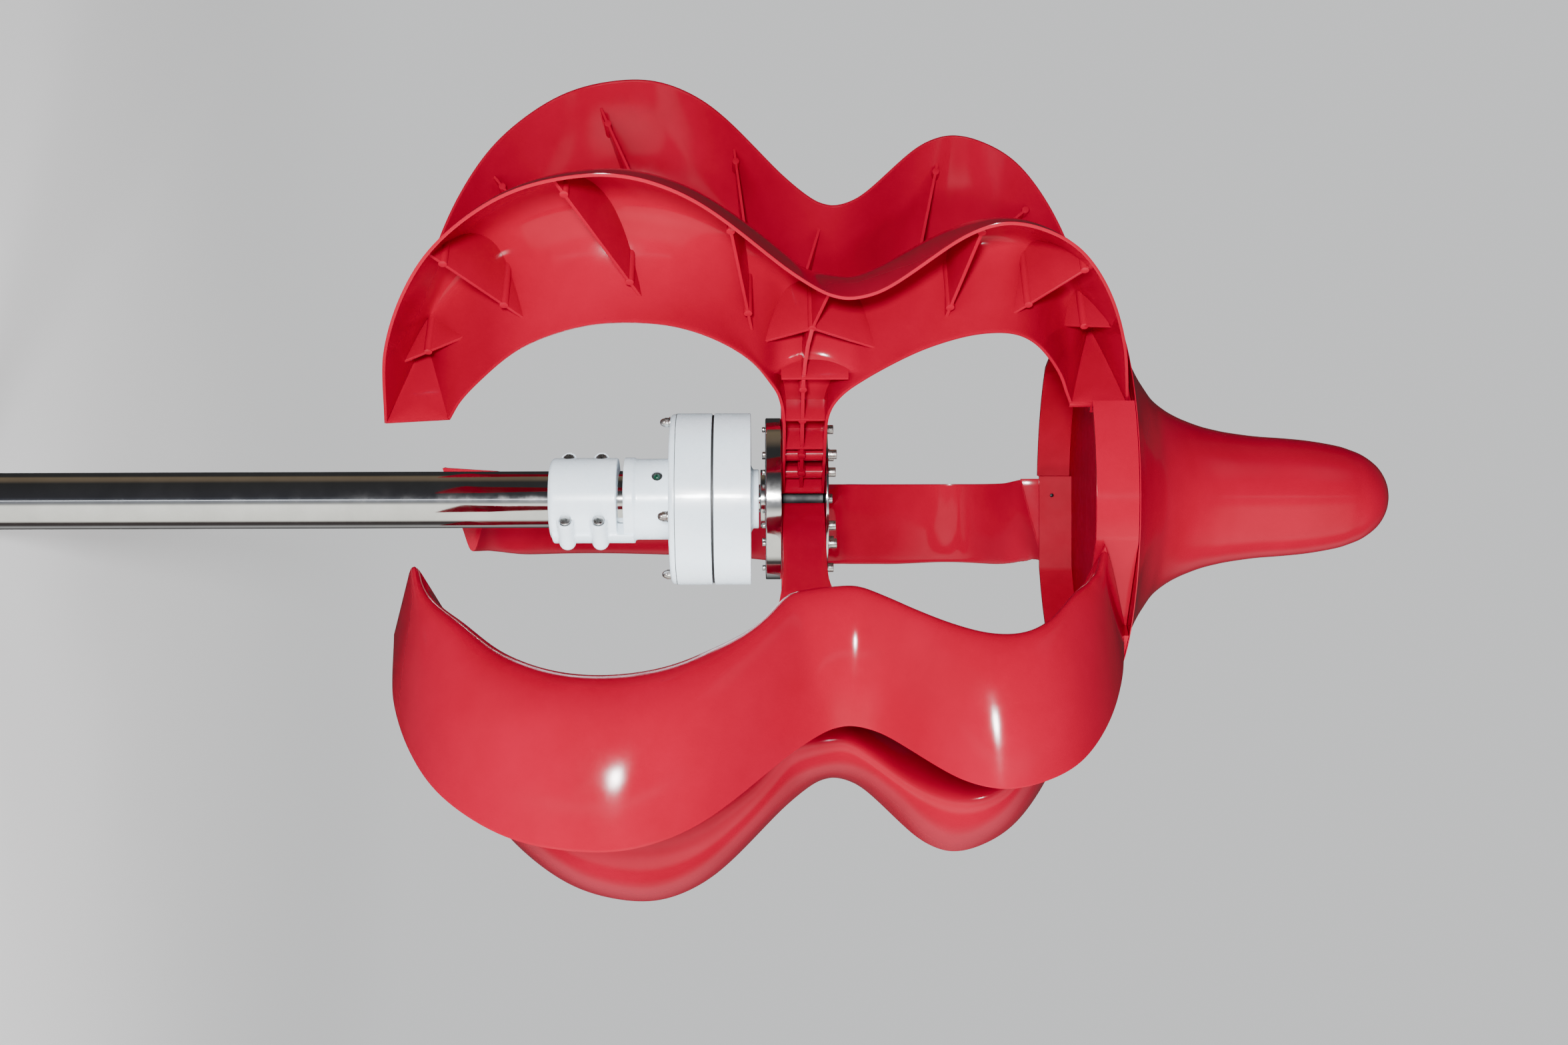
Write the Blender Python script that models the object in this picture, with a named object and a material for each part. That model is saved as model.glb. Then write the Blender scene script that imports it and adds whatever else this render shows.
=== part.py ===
"""Vertical axis wind turbine with five moulded scoop blades on a steel mast, in metres.

+Z is up and the origin is the centre of the mast foot's flat underside. The photographed side is -Y.
A blade's own frame is r outward, t along the counter-clockwise tangent and z up.
"""

import math

import bmesh
import bpy
from mathutils import Matrix, Vector

GAP = 0.0003

# Mast and its foot
MAST_R = 0.0255
MAST_WALL = 0.003
FOOT_R = 0.075
FOOT_T = 0.010
FOOT_BOLT_R = 0.0055
FOOT_BOLT_CIRCLE = 0.056
MAST_TOP = 0.630

# Clamp sleeve and generator neck
SLEEVE_R = 0.0385
SLEEVE_Z = (0.5415, 0.602)
NECK_COLLAR_R = 0.0385
NECK_R = 0.0365
NECK_Z = (0.6057, 0.615, 0.6492)
PLUG_R = 0.0042
PLUG_Z = 0.6365
PLUG_AZIMUTH = 236.0
PLUG_REACH = (0.030, 0.0350)
LUG_AZIMUTH = 331.0
LUG_Z = (0.562, 0.586)
LUG_R = 0.0075
LUG_REACH = 0.0365
LUG_LENGTH = 0.030

# Generator
GEN_R = 0.077
COVER_Z = (0.6495, 0.6547)
LOWER_Z = (0.655, 0.6866)
SEAM_Z = (0.6869, 0.6883)
UPPER_Z = (0.6886, 0.721)
BOSS_R = 0.0265
BOSS_TOP = 0.728

# Rotor hub
SHAFT_R = 0.012
SHAFT_CLEARANCE = 0.0008
SHAFT_BORE_FLOOR = 0.012
COLLAR_R = 0.0262
COLLAR_Z = (0.7295, 0.7337)
FLANGE_R = 0.0705
FLANGE_Z = (0.734, 0.748)
DISC_R = 0.0695
DISC_Z = (0.7863, 0.7885)
CORE_R = 0.0165
ARM_Z = (0.7483, 0.786)

# Blades. RIM_T is the rim's plane, and a blade's two ends sweep forward of it.
BLADE_AZIMUTHS = {"a": 234.9, "b": 162.9, "c": 306.9, "d": 18.9, "e": 90.9}
RIM_T = 0.0135
WALL = 0.003
ARM_FLOOR = 0.027
ARM_INNER = 0.0265

# Stations of one blade from bottom to top, in millimetres: the outer rim's r, z and sweep forward,
# the inner edge's r, z and sweep forward, and the full depth
STATIONS = (
    (152, 420, 17.5, 152, 472, 14.0, 85),
    (241, 433, 14.5, 174, 484, 11.5, 84),
    (309, 459, 11.0, 196, 502, 8.5, 81),
    (358, 491, 7.5, 230, 534, 6.0, 78),
    (400, 541, 3.5, 249, 571, 3.0, 75),
    (416, 592, 1.0, 257, 605, 1.0, 74),
    (415, 636, 0.0, 256, 640, 0.0, 74),
    (392, 680, 0.0, 250, 668, 0.0, 75),
    (354, 717, 0.0, 234, 697, 0.0, 76),
    (318, 748, 0.0, 209, 723, 0.0, 78),
    (293, 775, 0.0, 177, 740, 0.0, 80),
    (285, 790, 0.0, 177, 773, 0.0, 81),
    (284, 804, 0.0, 177, 806, 0.0, 81),
    (293, 825, 0.0, 197, 827, 0.0, 82),
    (317, 850, -1.0, 213, 846, 0.0, 82),
    (344, 877, -3.0, 226, 865, 0.0, 82),
    (357, 899, -5.0, 238, 890, 0.0, 81),
    (360, 919, -6.0, 243, 912, 0.0, 80),
    (352, 944, -6.0, 241, 934, 0.0, 80),
    (331, 973, -5.0, 225, 954, 0.0, 81),
    (287, 1000, -3.0, 193, 973, 0.5, 82),
    (230, 1020, 0.5, 174, 980, 2.5, 84),
    (158.3, 1033, 4.0, 158.3, 986, 4.0, 84),
)
ROOT_FIRST = 10
ROOT_LAST = 12
LAST = len(STATIONS) - 1
ROWS = sorted({*range(LAST + 1), 0.3, 0.65, 1.5, LAST - 1.5, LAST - 0.65, LAST - 0.3})
SHARES = (0.0, 0.07, 0.16, 0.27, 0.39, 0.51, 0.62, 0.73, 0.83, 0.91, 0.965, 1.0)
TIP_REACH = 2.4
TIP_PEAKS = (SHARES[5], SHARES[6])
TIP_LEANS = (0.14, 0.02)

# Edges of the hub arm where it flares into the scoop, (r, z) in millimetres
ARM_LOWER = ((118, 748.3), (136, 747.4), (152, 745.6), (166, 742.8), (181, 738))
ARM_UPPER = ((118, 786), (136, 787.3), (152, 791), (166, 798), (181, 810))

# Top ring and nose
RING_R = 0.168
RING_WALL = 0.004
RING_Z = (1.0025, 1.0372)
FLAT_R = 0.1565
FLAT_T = (-0.0611, 0.0205)
PLATE_T = 0.003
NOSE_RIM = 0.0008
NOSE = (
    (0.168, 1.0376),
    (0.1515, 1.0425),
    (0.1330, 1.0495),
    (0.1165, 1.058),
    (0.1038, 1.0662),
    (0.0885, 1.077),
    (0.0798, 1.089),
    (0.0729, 1.101),
    (0.0678, 1.113),
    (0.0636, 1.125),
    (0.0606, 1.137),
    (0.0582, 1.149),
    (0.0549, 1.173),
    (0.0531, 1.197),
    (0.0507, 1.221),
    (0.0465, 1.245),
    (0.0429, 1.257),
    (0.0378, 1.269),
    (0.0288, 1.281),
    (0.0185, 1.2883),
    (0.0085, 1.2917),
    (0.0, 1.2925),
)

for old in list(bpy.data.objects):
    bpy.data.objects.remove(old, do_unlink=True)


def material(name, colour, metallic=0.0, roughness=0.4):
    made = bpy.data.materials.new(name)
    made.use_nodes = True
    shader = made.node_tree.nodes["Principled BSDF"]
    shader.inputs["Base Color"].default_value = (*colour, 1.0)
    shader.inputs["Metallic"].default_value = metallic
    shader.inputs["Roughness"].default_value = roughness
    return made


RED = (0.58, 0.018, 0.035)
WHITE = (0.80, 0.83, 0.86)
STEEL = (0.62, 0.62, 0.63)


def empty(name):
    """A parent for the pieces of one body. Its origin is on the rotor's axis."""
    made = bpy.data.objects.new(name, None)
    bpy.context.scene.collection.objects.link(made)
    return made


def new_object(name, mesh, look, parent, smooth=True):
    if smooth:
        mesh.shade_smooth()
        mesh.set_sharp_from_angle(angle=math.radians(35))
    mesh.materials.clear()
    mesh.materials.append(look)
    obj = bpy.data.objects.new(name, mesh)
    obj.parent = parent
    bpy.context.scene.collection.objects.link(obj)
    return obj


def mesh_from(bm, name):
    bmesh.ops.recalc_face_normals(bm, faces=bm.faces[:])
    mesh = bpy.data.meshes.new(name)
    bm.to_mesh(mesh)
    bm.free()
    return mesh


def revolve(name, profile, segments=48):
    """The closed solid of a closed (r, z) outline turned about Z. A point with r 0 becomes a pole."""
    bm = bmesh.new()
    rings = []
    for r, z in profile:
        if r < 1e-6:
            rings.append([bm.verts.new((0, 0, z))])
            continue
        ring = []
        for i in range(segments):
            angle = 2 * math.pi * i / segments
            ring.append(bm.verts.new((r * math.cos(angle), r * math.sin(angle), z)))
        rings.append(ring)
    for a, b in zip(rings, rings[1:] + rings[:1]):
        for i in range(segments):
            j = (i + 1) % segments
            corners = [a[i % len(a)], a[j % len(a)], b[j % len(b)], b[i % len(b)]]
            unique = list(dict.fromkeys(corners))
            if len(unique) > 2:
                bm.faces.new(unique)
    return mesh_from(bm, name)


def helper(name, mesh):
    """A hidden cutter or joiner for a Boolean."""
    obj = bpy.data.objects.new(name, mesh)
    bpy.context.scene.collection.objects.link(obj)
    obj.hide_render = True
    obj.display_type = "WIRE"
    return obj


def boolean(obj, other, operation):
    made = obj.modifiers.new(operation.title() + "_" + other.name, "BOOLEAN")
    made.operation = operation
    made.object = other
    made.solver = "EXACT"


def settled(obj):
    """A plain mesh of the object as its modifiers leave it."""
    bpy.context.view_layer.update()
    graph = bpy.context.evaluated_depsgraph_get()
    return bpy.data.meshes.new_from_object(obj.evaluated_get(graph), depsgraph=graph)


def rod(name, radius, z0, z1, at=(0.0, 0.0), segments=24):
    bm = bmesh.new()
    place = Matrix.Translation((at[0], at[1], (z0 + z1) / 2))
    bmesh.ops.create_cone(
        bm, cap_ends=True, segments=segments, radius1=radius, radius2=radius, depth=z1 - z0, matrix=place
    )
    return mesh_from(bm, name)


def spline(points, k):
    """Catmull-Rom value of a list of tuples at the fractional index k."""
    i = min(int(k), len(points) - 2)
    f = k - i
    last = len(points) - 1
    p0, p1, p2, p3 = (points[max(0, min(last, i + step))] for step in (-1, 0, 1, 2))
    if i == 0:
        p0 = tuple(2 * a - b for a, b in zip(p1, p2))
    if i == last - 1:
        p3 = tuple(2 * b - a for a, b in zip(p1, p2))
    return tuple(
        0.5 * (2 * b + (c - a) * f + (2 * a - 5 * b + 4 * c - d) * f * f + (3 * b - a - 3 * c + d) * f**3)
        for a, b, c, d in zip(p0, p1, p2, p3)
    )


def ramp(x, low, high):
    x = max(0.0, min(1.0, (x - low) / (high - low)))
    return x * x * (3 - 2 * x)


RIM = [tuple(value / 1000 for value in row[0:3]) for row in STATIONS]
INNER = [tuple(value / 1000 for value in row[3:6]) for row in STATIONS]
DEPTHS = [(row[6] / 1000,) for row in STATIONS]


def inner_point(k):
    """The inner edge at station k. The arm root is a straight run between its two corners."""
    if k <= ROOT_FIRST:
        return spline(INNER[: ROOT_FIRST + 1], k)
    if k >= ROOT_LAST:
        return spline(INNER[ROOT_LAST:], k - ROOT_LAST)
    f = (k - ROOT_FIRST) / (ROOT_LAST - ROOT_FIRST)
    a, b = INNER[ROOT_FIRST], INNER[ROOT_LAST]
    return tuple(x + (y - x) * f for x, y in zip(a, b))


def depth_share(k, v):
    """Share of the full depth at station k, at share v of the way from the rim to the inner edge.

    The section is rounder and deeper outside in the lower lobe. At the waist it falls to the arm's floor,
    and towards both ends it becomes a plain V.
    """
    waist = ramp(k, 7.5, 10.0) * (1 - ramp(k, 12.0, 14.5))
    upper = ramp(k, 8.0, 15.5)
    bulge = ramp(k, 3.0, 8.0) * (1 - ramp(k, 9.5, 15.0))
    tip = max(1 - ramp(k, 0.0, TIP_REACH), ramp(k, LAST - TIP_REACH, LAST))
    peak = 0.60 + 0.17 * upper + 0.05 * waist
    peak += (TIP_PEAKS[k > LAST / 2] - peak) * tip
    if v <= peak:
        share = 1 - (1 - v / peak) ** (1.7 - 0.5 * upper)
        straight = v / peak
    else:
        y = (v - peak) / (1 - peak)
        floor = ARM_FLOOR / spline(DEPTHS, k)[0]
        arm = floor + (1 - floor) * (1 - ramp(y, -0.08, 0.92))
        share = (1 - y * y) ** (1.0 - 0.4 * bulge)
        share += (arm - share) * waist
        straight = 1 - y
    return share + (straight - share) * tip


def scoop_point(k, v):
    """A point (r, t, z) of the scoop's middle surface."""
    rim = spline(RIM, k)
    inner = inner_point(k)
    depth = 0.0 if v in (0, 1) else spline(DEPTHS, k)[0] * depth_share(k, v)
    lean = TIP_LEANS[k > LAST / 2] * depth * max(1 - ramp(k, 0.0, 1.0), ramp(k, LAST - 1.0, LAST))
    r, z, sweep = (a + (b - a) * v for a, b in zip(rim, inner))
    return r + lean, RIM_T + sweep - depth, z


def end_panel(bm, row):
    """Closes an end of the scoop: a flat panel between its V-shaped row of vertices and a straight edge."""
    first, last = row[0].co, row[-1].co
    edge = [bm.verts.new(first.lerp(last, v)) for v in SHARES[1:-1]]
    edge = [row[0], *edge, row[-1]]
    for i in range(len(row) - 1):
        corners = (edge[i], edge[i + 1], row[i + 1], row[i])
        bm.faces.new(list(dict.fromkeys(corners)))


def blade_surface():
    """The scoop's middle surface as an open sheet, in the blade's own frame."""
    bm = bmesh.new()
    grid = [[bm.verts.new(scoop_point(k, v)) for v in SHARES] for k in ROWS]
    for a, b in zip(grid, grid[1:]):
        for i in range(len(SHARES) - 1):
            bm.faces.new((a[i], a[i + 1], b[i + 1], b[i]))
    end_panel(bm, grid[0])
    end_panel(bm, grid[-1])
    return mesh_from(bm, "scoop_surface")


def prism(bm, outline, t0, t1):
    """Adds the solid between t0 and t1 of a closed outline of (r, z) points."""
    near = [bm.verts.new((r, t0, z)) for r, z in outline]
    far = [bm.verts.new((r, t1, z)) for r, z in outline]
    bm.faces.new(near)
    bm.faces.new(far)
    for i in range(len(outline)):
        j = (i + 1) % len(outline)
        bm.faces.new((near[i], near[j], far[j], far[i]))


def arm_outline(inset, inner_end, reach):
    """The arm's outline, pulled in by inset, from its inner end to its flared mouth."""
    lower = [(r / 1000, z / 1000 + inset) for r, z in ARM_LOWER]
    upper = [(r / 1000, z / 1000 - inset) for r, z in ARM_UPPER]
    mouth_low = (lower[-1][0] + reach, lower[-1][1])
    mouth_high = (upper[-1][0] + reach, upper[-1][1])
    tail = [mouth_low, mouth_high] if reach else []
    start = [(inner_end, upper[0][1]), (inner_end, lower[0][1])]
    return lower + tail + upper[::-1] + start


def arm_channel():
    """The hub arm: a channel open on the +t side, from the hub to just past the scoop's root wall."""
    half = WALL / 2
    floor = RIM_T - ARM_FLOOR
    bm = bmesh.new()
    prism(bm, arm_outline(0.0, ARM_INNER, 0.0), floor - half, RIM_T)
    body = helper("arm_body", mesh_from(bm, "arm_body"))
    bm = bmesh.new()
    prism(bm, arm_outline(WALL, ARM_INNER + WALL, 0.01), floor + half, RIM_T + 0.01)
    pocket = helper("arm_pocket", mesh_from(bm, "arm_pocket"))
    boolean(body, pocket, "DIFFERENCE")
    return body


def make_blades(look, rotor):
    scoop = helper("scoop", blade_surface())
    shell = scoop.modifiers.new("Wall", "SOLIDIFY")
    shell.thickness = WALL
    shell.offset = 0.0
    arm = arm_channel()
    arm_mesh = settled(arm)
    joined = helper("arm_joined", arm_mesh)
    boolean(scoop, joined, "UNION")
    mesh = settled(scoop)
    for letter, azimuth in BLADE_AZIMUTHS.items():
        blade = new_object("blade_" + letter, mesh, look, rotor)
        blade.rotation_euler.z = math.radians(azimuth)


def ring_outline(radius, flat):
    """Points round the ring at one radius, cut by the five flats that the blade ends rest on."""
    points = []
    for azimuth in sorted(BLADE_AZIMUTHS.values()):
        turn = math.radians(azimuth)
        out = Vector((math.cos(turn), math.sin(turn)))
        along = Vector((-math.sin(turn), math.cos(turn)))
        reach = math.sqrt(radius * radius - flat * flat)
        low = max(FLAT_T[0], -reach)
        high = FLAT_T[1]
        local = [(flat, low), (flat, low + (high - low) / 2), (flat, high)]
        start = math.atan2(high + 0.001, math.sqrt(radius * radius - (high + 0.001) ** 2))
        stop = 2 * math.pi / 5 + math.atan2(low, flat)
        steps = 7
        for i in range(steps):
            angle = start + (stop - start) * i / steps
            local.append((radius * math.cos(angle), radius * math.sin(angle)))
        points += [out * a + along * b for a, b in local]
    return points


def ring_mesh():
    outer = ring_outline(RING_R, FLAT_R)
    inner = ring_outline(RING_R - RING_WALL, FLAT_R - RING_WALL)
    bm = bmesh.new()
    loops = []
    for line, z in ((outer, RING_Z[0]), (outer, RING_Z[1]), (inner, RING_Z[1]), (inner, RING_Z[0])):
        loops.append([bm.verts.new((p.x, p.y, z)) for p in line])
    count = len(outer)
    for a, b in zip(loops, loops[1:] + loops[:1]):
        for i in range(count):
            j = (i + 1) % count
            bm.faces.new((a[i], a[j], b[j], b[i]))
    return mesh_from(bm, "ring")


def plate_mesh():
    line = ring_outline(RING_R - RING_WALL - GAP, FLAT_R - RING_WALL - GAP)
    bm = bmesh.new()
    top = RING_Z[1] - 0.0004
    low = [bm.verts.new((p.x, p.y, top - PLATE_T)) for p in line]
    high = [bm.verts.new((p.x, p.y, top)) for p in line]
    bm.faces.new(low)
    bm.faces.new(high)
    for i in range(len(line)):
        j = (i + 1) % len(line)
        bm.faces.new((low[i], low[j], high[j], high[i]))
    return mesh_from(bm, "plate")


def tube_profile(r_in, r_out, z0, z1, chamfer=0.0):
    c = chamfer
    if c:
        return [(r_in, z0), (r_out - c, z0), (r_out, z0 + c), (r_out, z1 - c), (r_out - c, z1), (r_in, z1)]
    return [(r_in, z0), (r_out, z0), (r_out, z1), (r_in, z1)]


def disc_profile(r_out, z0, z1, chamfer=0.0):
    c = chamfer
    if c:
        return [(0, z0), (r_out - c, z0), (r_out, z0 + c), (r_out, z1 - c), (r_out - c, z1), (0, z1)]
    return [(0, z0), (r_out, z0), (r_out, z1), (0, z1)]


def make_foot(look, mast):
    foot = new_object("mast_foot", revolve("foot", disc_profile(FOOT_R, 0, FOOT_T, 0.001), 48), look, mast)
    for i in range(4):
        angle = math.radians(45 + 90 * i)
        at = (FOOT_BOLT_CIRCLE * math.cos(angle), FOOT_BOLT_CIRCLE * math.sin(angle))
        name = f"foot_hole_{i}"
        boolean(foot, helper(name, rod(name, FOOT_BOLT_R, -0.01, FOOT_T + 0.01, at)), "DIFFERENCE")


def make_sleeve(look, mast):
    bore = MAST_R + GAP
    profile = [
        (bore, SLEEVE_Z[0]),
        (SLEEVE_R - 0.005, SLEEVE_Z[0]),
        (SLEEVE_R - 0.0018, SLEEVE_Z[0] + 0.0012),
        (SLEEVE_R, SLEEVE_Z[0] + 0.0045),
        (SLEEVE_R, SLEEVE_Z[1] - 0.0008),
        (SLEEVE_R - 0.0008, SLEEVE_Z[1]),
        (bore, SLEEVE_Z[1]),
    ]
    sleeve = new_object("clamp_sleeve", revolve("sleeve", profile, 48), look, mast)
    bm = bmesh.new()
    turn = math.radians(LUG_AZIMUTH)
    for z in LUG_Z:
        place = Matrix.Rotation(turn, 4, "Z") @ Matrix.Translation((LUG_REACH, 0, z))
        place = place @ Matrix.Rotation(math.pi / 2, 4, "X")
        bmesh.ops.create_cone(
            bm, cap_ends=True, segments=20, radius1=LUG_R, radius2=LUG_R, depth=LUG_LENGTH, matrix=place
        )
    lugs = helper("sleeve_lugs", mesh_from(bm, "lugs"))
    boolean(sleeve, lugs, "UNION")
    cut = rod("bore", bore, SLEEVE_Z[0] - 0.01, SLEEVE_Z[1] + 0.01, segments=48)
    boolean(sleeve, helper("sleeve_bore", cut), "DIFFERENCE")


def make_neck(look, green, mast):
    bore = MAST_R + GAP
    profile = [
        (bore, NECK_Z[0]),
        (NECK_COLLAR_R, NECK_Z[0]),
        (NECK_COLLAR_R, NECK_Z[1]),
        (NECK_R, NECK_Z[1] + 0.0008),
        (NECK_R, NECK_Z[2]),
        (0, NECK_Z[2]),
        (0, MAST_TOP + GAP),
        (bore, MAST_TOP + GAP),
    ]
    neck = new_object("generator_neck", revolve("neck", profile, 48), look, mast)
    turn = Matrix.Rotation(math.radians(PLUG_AZIMUTH), 4, "Z")
    aim = Matrix.Rotation(math.pi / 2, 4, "Y")

    def pin(name, radius, r0, r1):
        bm = bmesh.new()
        place = turn @ Matrix.Translation(((r0 + r1) / 2, 0, PLUG_Z)) @ aim
        bmesh.ops.create_cone(
            bm, cap_ends=True, segments=20, radius1=radius, radius2=radius, depth=r1 - r0, matrix=place
        )
        return mesh_from(bm, name)

    boolean(neck, helper("plug_hole", pin("plug_hole", PLUG_R + GAP, PLUG_REACH[0], 0.045)), "DIFFERENCE")
    new_object("status_plug", pin("status_plug", PLUG_R, PLUG_REACH[0] + GAP, PLUG_REACH[1]), green, mast)


def make_static(white, steel, black, green, galvanised):
    mast = empty("mast")
    make_foot(galvanised, mast)
    tube = tube_profile(MAST_R - MAST_WALL, MAST_R, FOOT_T + GAP, MAST_TOP)
    new_object("mast_tube", revolve("tube", tube, 48), steel, mast)
    make_sleeve(white, mast)
    make_neck(white, green, mast)
    cover = [
        (0, COVER_Z[0]),
        (GEN_R - 0.0045, COVER_Z[0]),
        (GEN_R - 0.0016, COVER_Z[0] + 0.0012),
        (GEN_R - 0.0006, COVER_Z[0] + 0.0035),
        (GEN_R - 0.0006, COVER_Z[1]),
        (0, COVER_Z[1]),
    ]
    new_object("generator_cover", revolve("cover", cover, 64), white, mast)
    lower = disc_profile(GEN_R, *LOWER_Z, 0.0006)
    new_object("generator_lower", revolve("lower", lower, 64), white, mast)
    seam = disc_profile(GEN_R - 0.0015, *SEAM_Z)
    new_object("generator_seam", revolve("seam", seam, 64), black, mast)
    z0, z1 = UPPER_Z
    upper = [
        (0, z0),
        (GEN_R - 0.0006, z0),
        (GEN_R, z0 + 0.0006),
        (GEN_R, z1 - 0.0012),
        (GEN_R - 0.0012, z1),
        (BOSS_R, z1),
        (BOSS_R, BOSS_TOP - 0.0008),
        (BOSS_R - 0.0008, BOSS_TOP),
        (SHAFT_R + SHAFT_CLEARANCE, BOSS_TOP),
        (SHAFT_R + SHAFT_CLEARANCE, z0 + SHAFT_BORE_FLOOR),
        (0, z0 + SHAFT_BORE_FLOOR),
    ]
    new_object("generator_upper", revolve("upper", upper, 64), white, mast)


def make_hub(steel, rotor):
    shaft_low = UPPER_Z[0] + SHAFT_BORE_FLOOR + 2 * SHAFT_CLEARANCE
    shaft = [
        (0, shaft_low),
        (SHAFT_R, shaft_low),
        (SHAFT_R, COLLAR_Z[0]),
        (COLLAR_R, COLLAR_Z[0]),
        (COLLAR_R, COLLAR_Z[1]),
        (0, COLLAR_Z[1]),
    ]
    new_object("hub_collar", revolve("collar", shaft, 48), steel, rotor)
    flange = disc_profile(FLANGE_R, *FLANGE_Z, 0.001)
    new_object("lower_flange", revolve("flange", flange, 64), steel, rotor)
    core = disc_profile(CORE_R, *ARM_Z, 0.001)
    new_object("hub_core", revolve("core", core, 32), steel, rotor)
    disc = disc_profile(DISC_R, *DISC_Z, 0.0003)
    new_object("upper_disc", revolve("disc", disc, 64), steel, rotor)


def nose_mesh():
    """The trumpet nose as one solid with a flat base and a thin upright rim."""
    base = NOSE[0][1]
    rim = (NOSE[0][0], base + NOSE_RIM)
    return revolve("nose", [(0, base), NOSE[0], rim, *NOSE[1:]], 48)


def main():
    red = material("red_nylon", RED, 0.0, 0.22)
    white = material("white_powder_coat", WHITE, 0.0, 0.38)
    steel = material("polished_steel", STEEL, 1.0, 0.12)
    black = material("black_seal", (0.02, 0.02, 0.02), 0.0, 0.6)
    green = material("green_plug", (0.02, 0.22, 0.10), 0.0, 0.3)
    galvanised = material("zinc_plate", (0.48, 0.49, 0.50), 1.0, 0.45)
    make_static(white, steel, black, green, galvanised)
    rotor = empty("rotor")
    make_hub(steel, rotor)
    make_blades(red, rotor)
    new_object("top_ring", ring_mesh(), red, rotor, False)
    new_object("ring_plate", plate_mesh(), red, rotor, False)
    new_object("nose_fairing", nose_mesh(), red, rotor)


main()
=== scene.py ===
# %% [markdown]
# # A vertical axis wind turbine with five moulded scoops
#
# The real machine stands on a polished steel mast. A white drum generator sits on the mast, and a rotor of
# five glossy red nylon scoops turns on the generator's shaft under a red trumpet-shaped nose.
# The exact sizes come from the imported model, which is loaded first and never changed. Each piece below is a
# finer, smoother version of one of its nodes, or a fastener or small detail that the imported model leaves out.

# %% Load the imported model
import math

import bmesh
import bpy
from mathutils import Matrix, Vector
from mathutils.bvhtree import BVHTree


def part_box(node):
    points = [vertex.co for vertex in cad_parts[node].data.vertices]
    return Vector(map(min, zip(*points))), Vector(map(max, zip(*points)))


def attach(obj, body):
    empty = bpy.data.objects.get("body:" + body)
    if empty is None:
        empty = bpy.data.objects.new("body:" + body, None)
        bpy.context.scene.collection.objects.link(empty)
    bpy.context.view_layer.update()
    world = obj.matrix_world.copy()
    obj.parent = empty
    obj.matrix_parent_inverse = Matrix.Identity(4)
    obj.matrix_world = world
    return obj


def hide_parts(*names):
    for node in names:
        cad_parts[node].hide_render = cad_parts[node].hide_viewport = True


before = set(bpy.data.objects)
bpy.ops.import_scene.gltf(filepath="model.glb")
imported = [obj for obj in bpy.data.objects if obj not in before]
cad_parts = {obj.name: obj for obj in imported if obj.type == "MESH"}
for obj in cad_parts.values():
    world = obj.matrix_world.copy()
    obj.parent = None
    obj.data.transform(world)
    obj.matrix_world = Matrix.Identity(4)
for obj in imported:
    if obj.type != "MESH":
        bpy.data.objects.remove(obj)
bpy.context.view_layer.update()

# %% [markdown]
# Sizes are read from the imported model's boxes wherever a node has them, so nothing here can drift away
# from it. Lengths are metres, and MM turns a size that is easier to read in millimetres into metres.

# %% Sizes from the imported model
MM = 0.001
TINY = 1e-5


def span(node):
    """Radius, lowest z and highest z of a round node."""
    low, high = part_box(node)
    return (high.x - low.x) / 2, low.z, high.z


MAST_R, MAST_LOW, MAST_TOP = span("mast_tube")
print(f"the mast is {2 * MAST_R / MM:.0f} mm across and its top is {MAST_TOP / MM:.0f} mm up")

# %% [markdown]
# The photograph was taken with the turbine lying on its side, so the camera here is rolled by a quarter
# turn: world up points to the right of the picture. It stands 1.72 m from the axis, level with the rotor's
# hub. A small lens shift moves the horizon off the picture's centre, as in the photograph.

# %% The camera
CAMERA_AT = Vector((0.0213, -1.723, 0.726))
LENS_MM = 43.96
HORIZON_SHIFT = 41 / 2352
ROLL_LEAN = 0.0033

camera_data = bpy.data.cameras.new("camera")
camera_data.lens = LENS_MM
camera_data.sensor_width = 36.0
camera_data.sensor_fit = "HORIZONTAL"
camera_data.shift_x = HORIZON_SHIFT
camera = bpy.data.objects.new("camera", camera_data)
bpy.context.scene.collection.objects.link(camera)
right = Vector((ROLL_LEAN, 0, 1)).normalized()
back = Vector((0, -1, 0))
up = back.cross(right)
camera.matrix_world = Matrix.Translation(CAMERA_AT) @ Matrix((right, up, back)).transposed().to_4x4()
bpy.context.scene.camera = camera
print("camera up in the world:", [round(x, 3) for x in up])

# %% [markdown]
# Every material is a tree of nodes, and so is the world round the part. Such a tree can be clicked together
# in the Shader Editor. In a script it can be repeated with other values, which suits a part with ten related
# finishes. A few helpers keep the trees short: they empty a tree, make a node with its values, and join two
# nodes with a wire.


# %% Helpers for node trees
def node_tree_of(owner):
    """The emptied node tree of a world or a material."""
    owner.use_nodes = True
    owner.node_tree.nodes.clear()
    return owner.node_tree


def set_inputs(made, values):
    for label, value in values:
        made.inputs[label].default_value = value
    return made


def new_node(tree, kind, *values):
    """A node of one kind. Each of values is the label of an input with what it is set to."""
    return set_inputs(tree.nodes.new(kind), values)


def colour_mix(tree, *values):
    made = tree.nodes.new("ShaderNodeMix")
    made.data_type = "RGBA"
    return set_inputs(made, values)


def math_node(tree, operation, *values):
    """A Math node. A value may be a number or an output socket."""
    made = tree.nodes.new("ShaderNodeMath")
    made.operation = operation
    for socket, value in zip(made.inputs, values):
        if isinstance(value, (int, float)):
            socket.default_value = value
        else:
            tree.links.new(value, socket)
    return made.outputs["Value"]


def link(tree, out_node, out_name, in_node, in_name):
    tree.links.new(out_node.outputs[out_name], in_node.inputs[in_name])


print("helpers for node trees ready")

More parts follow.
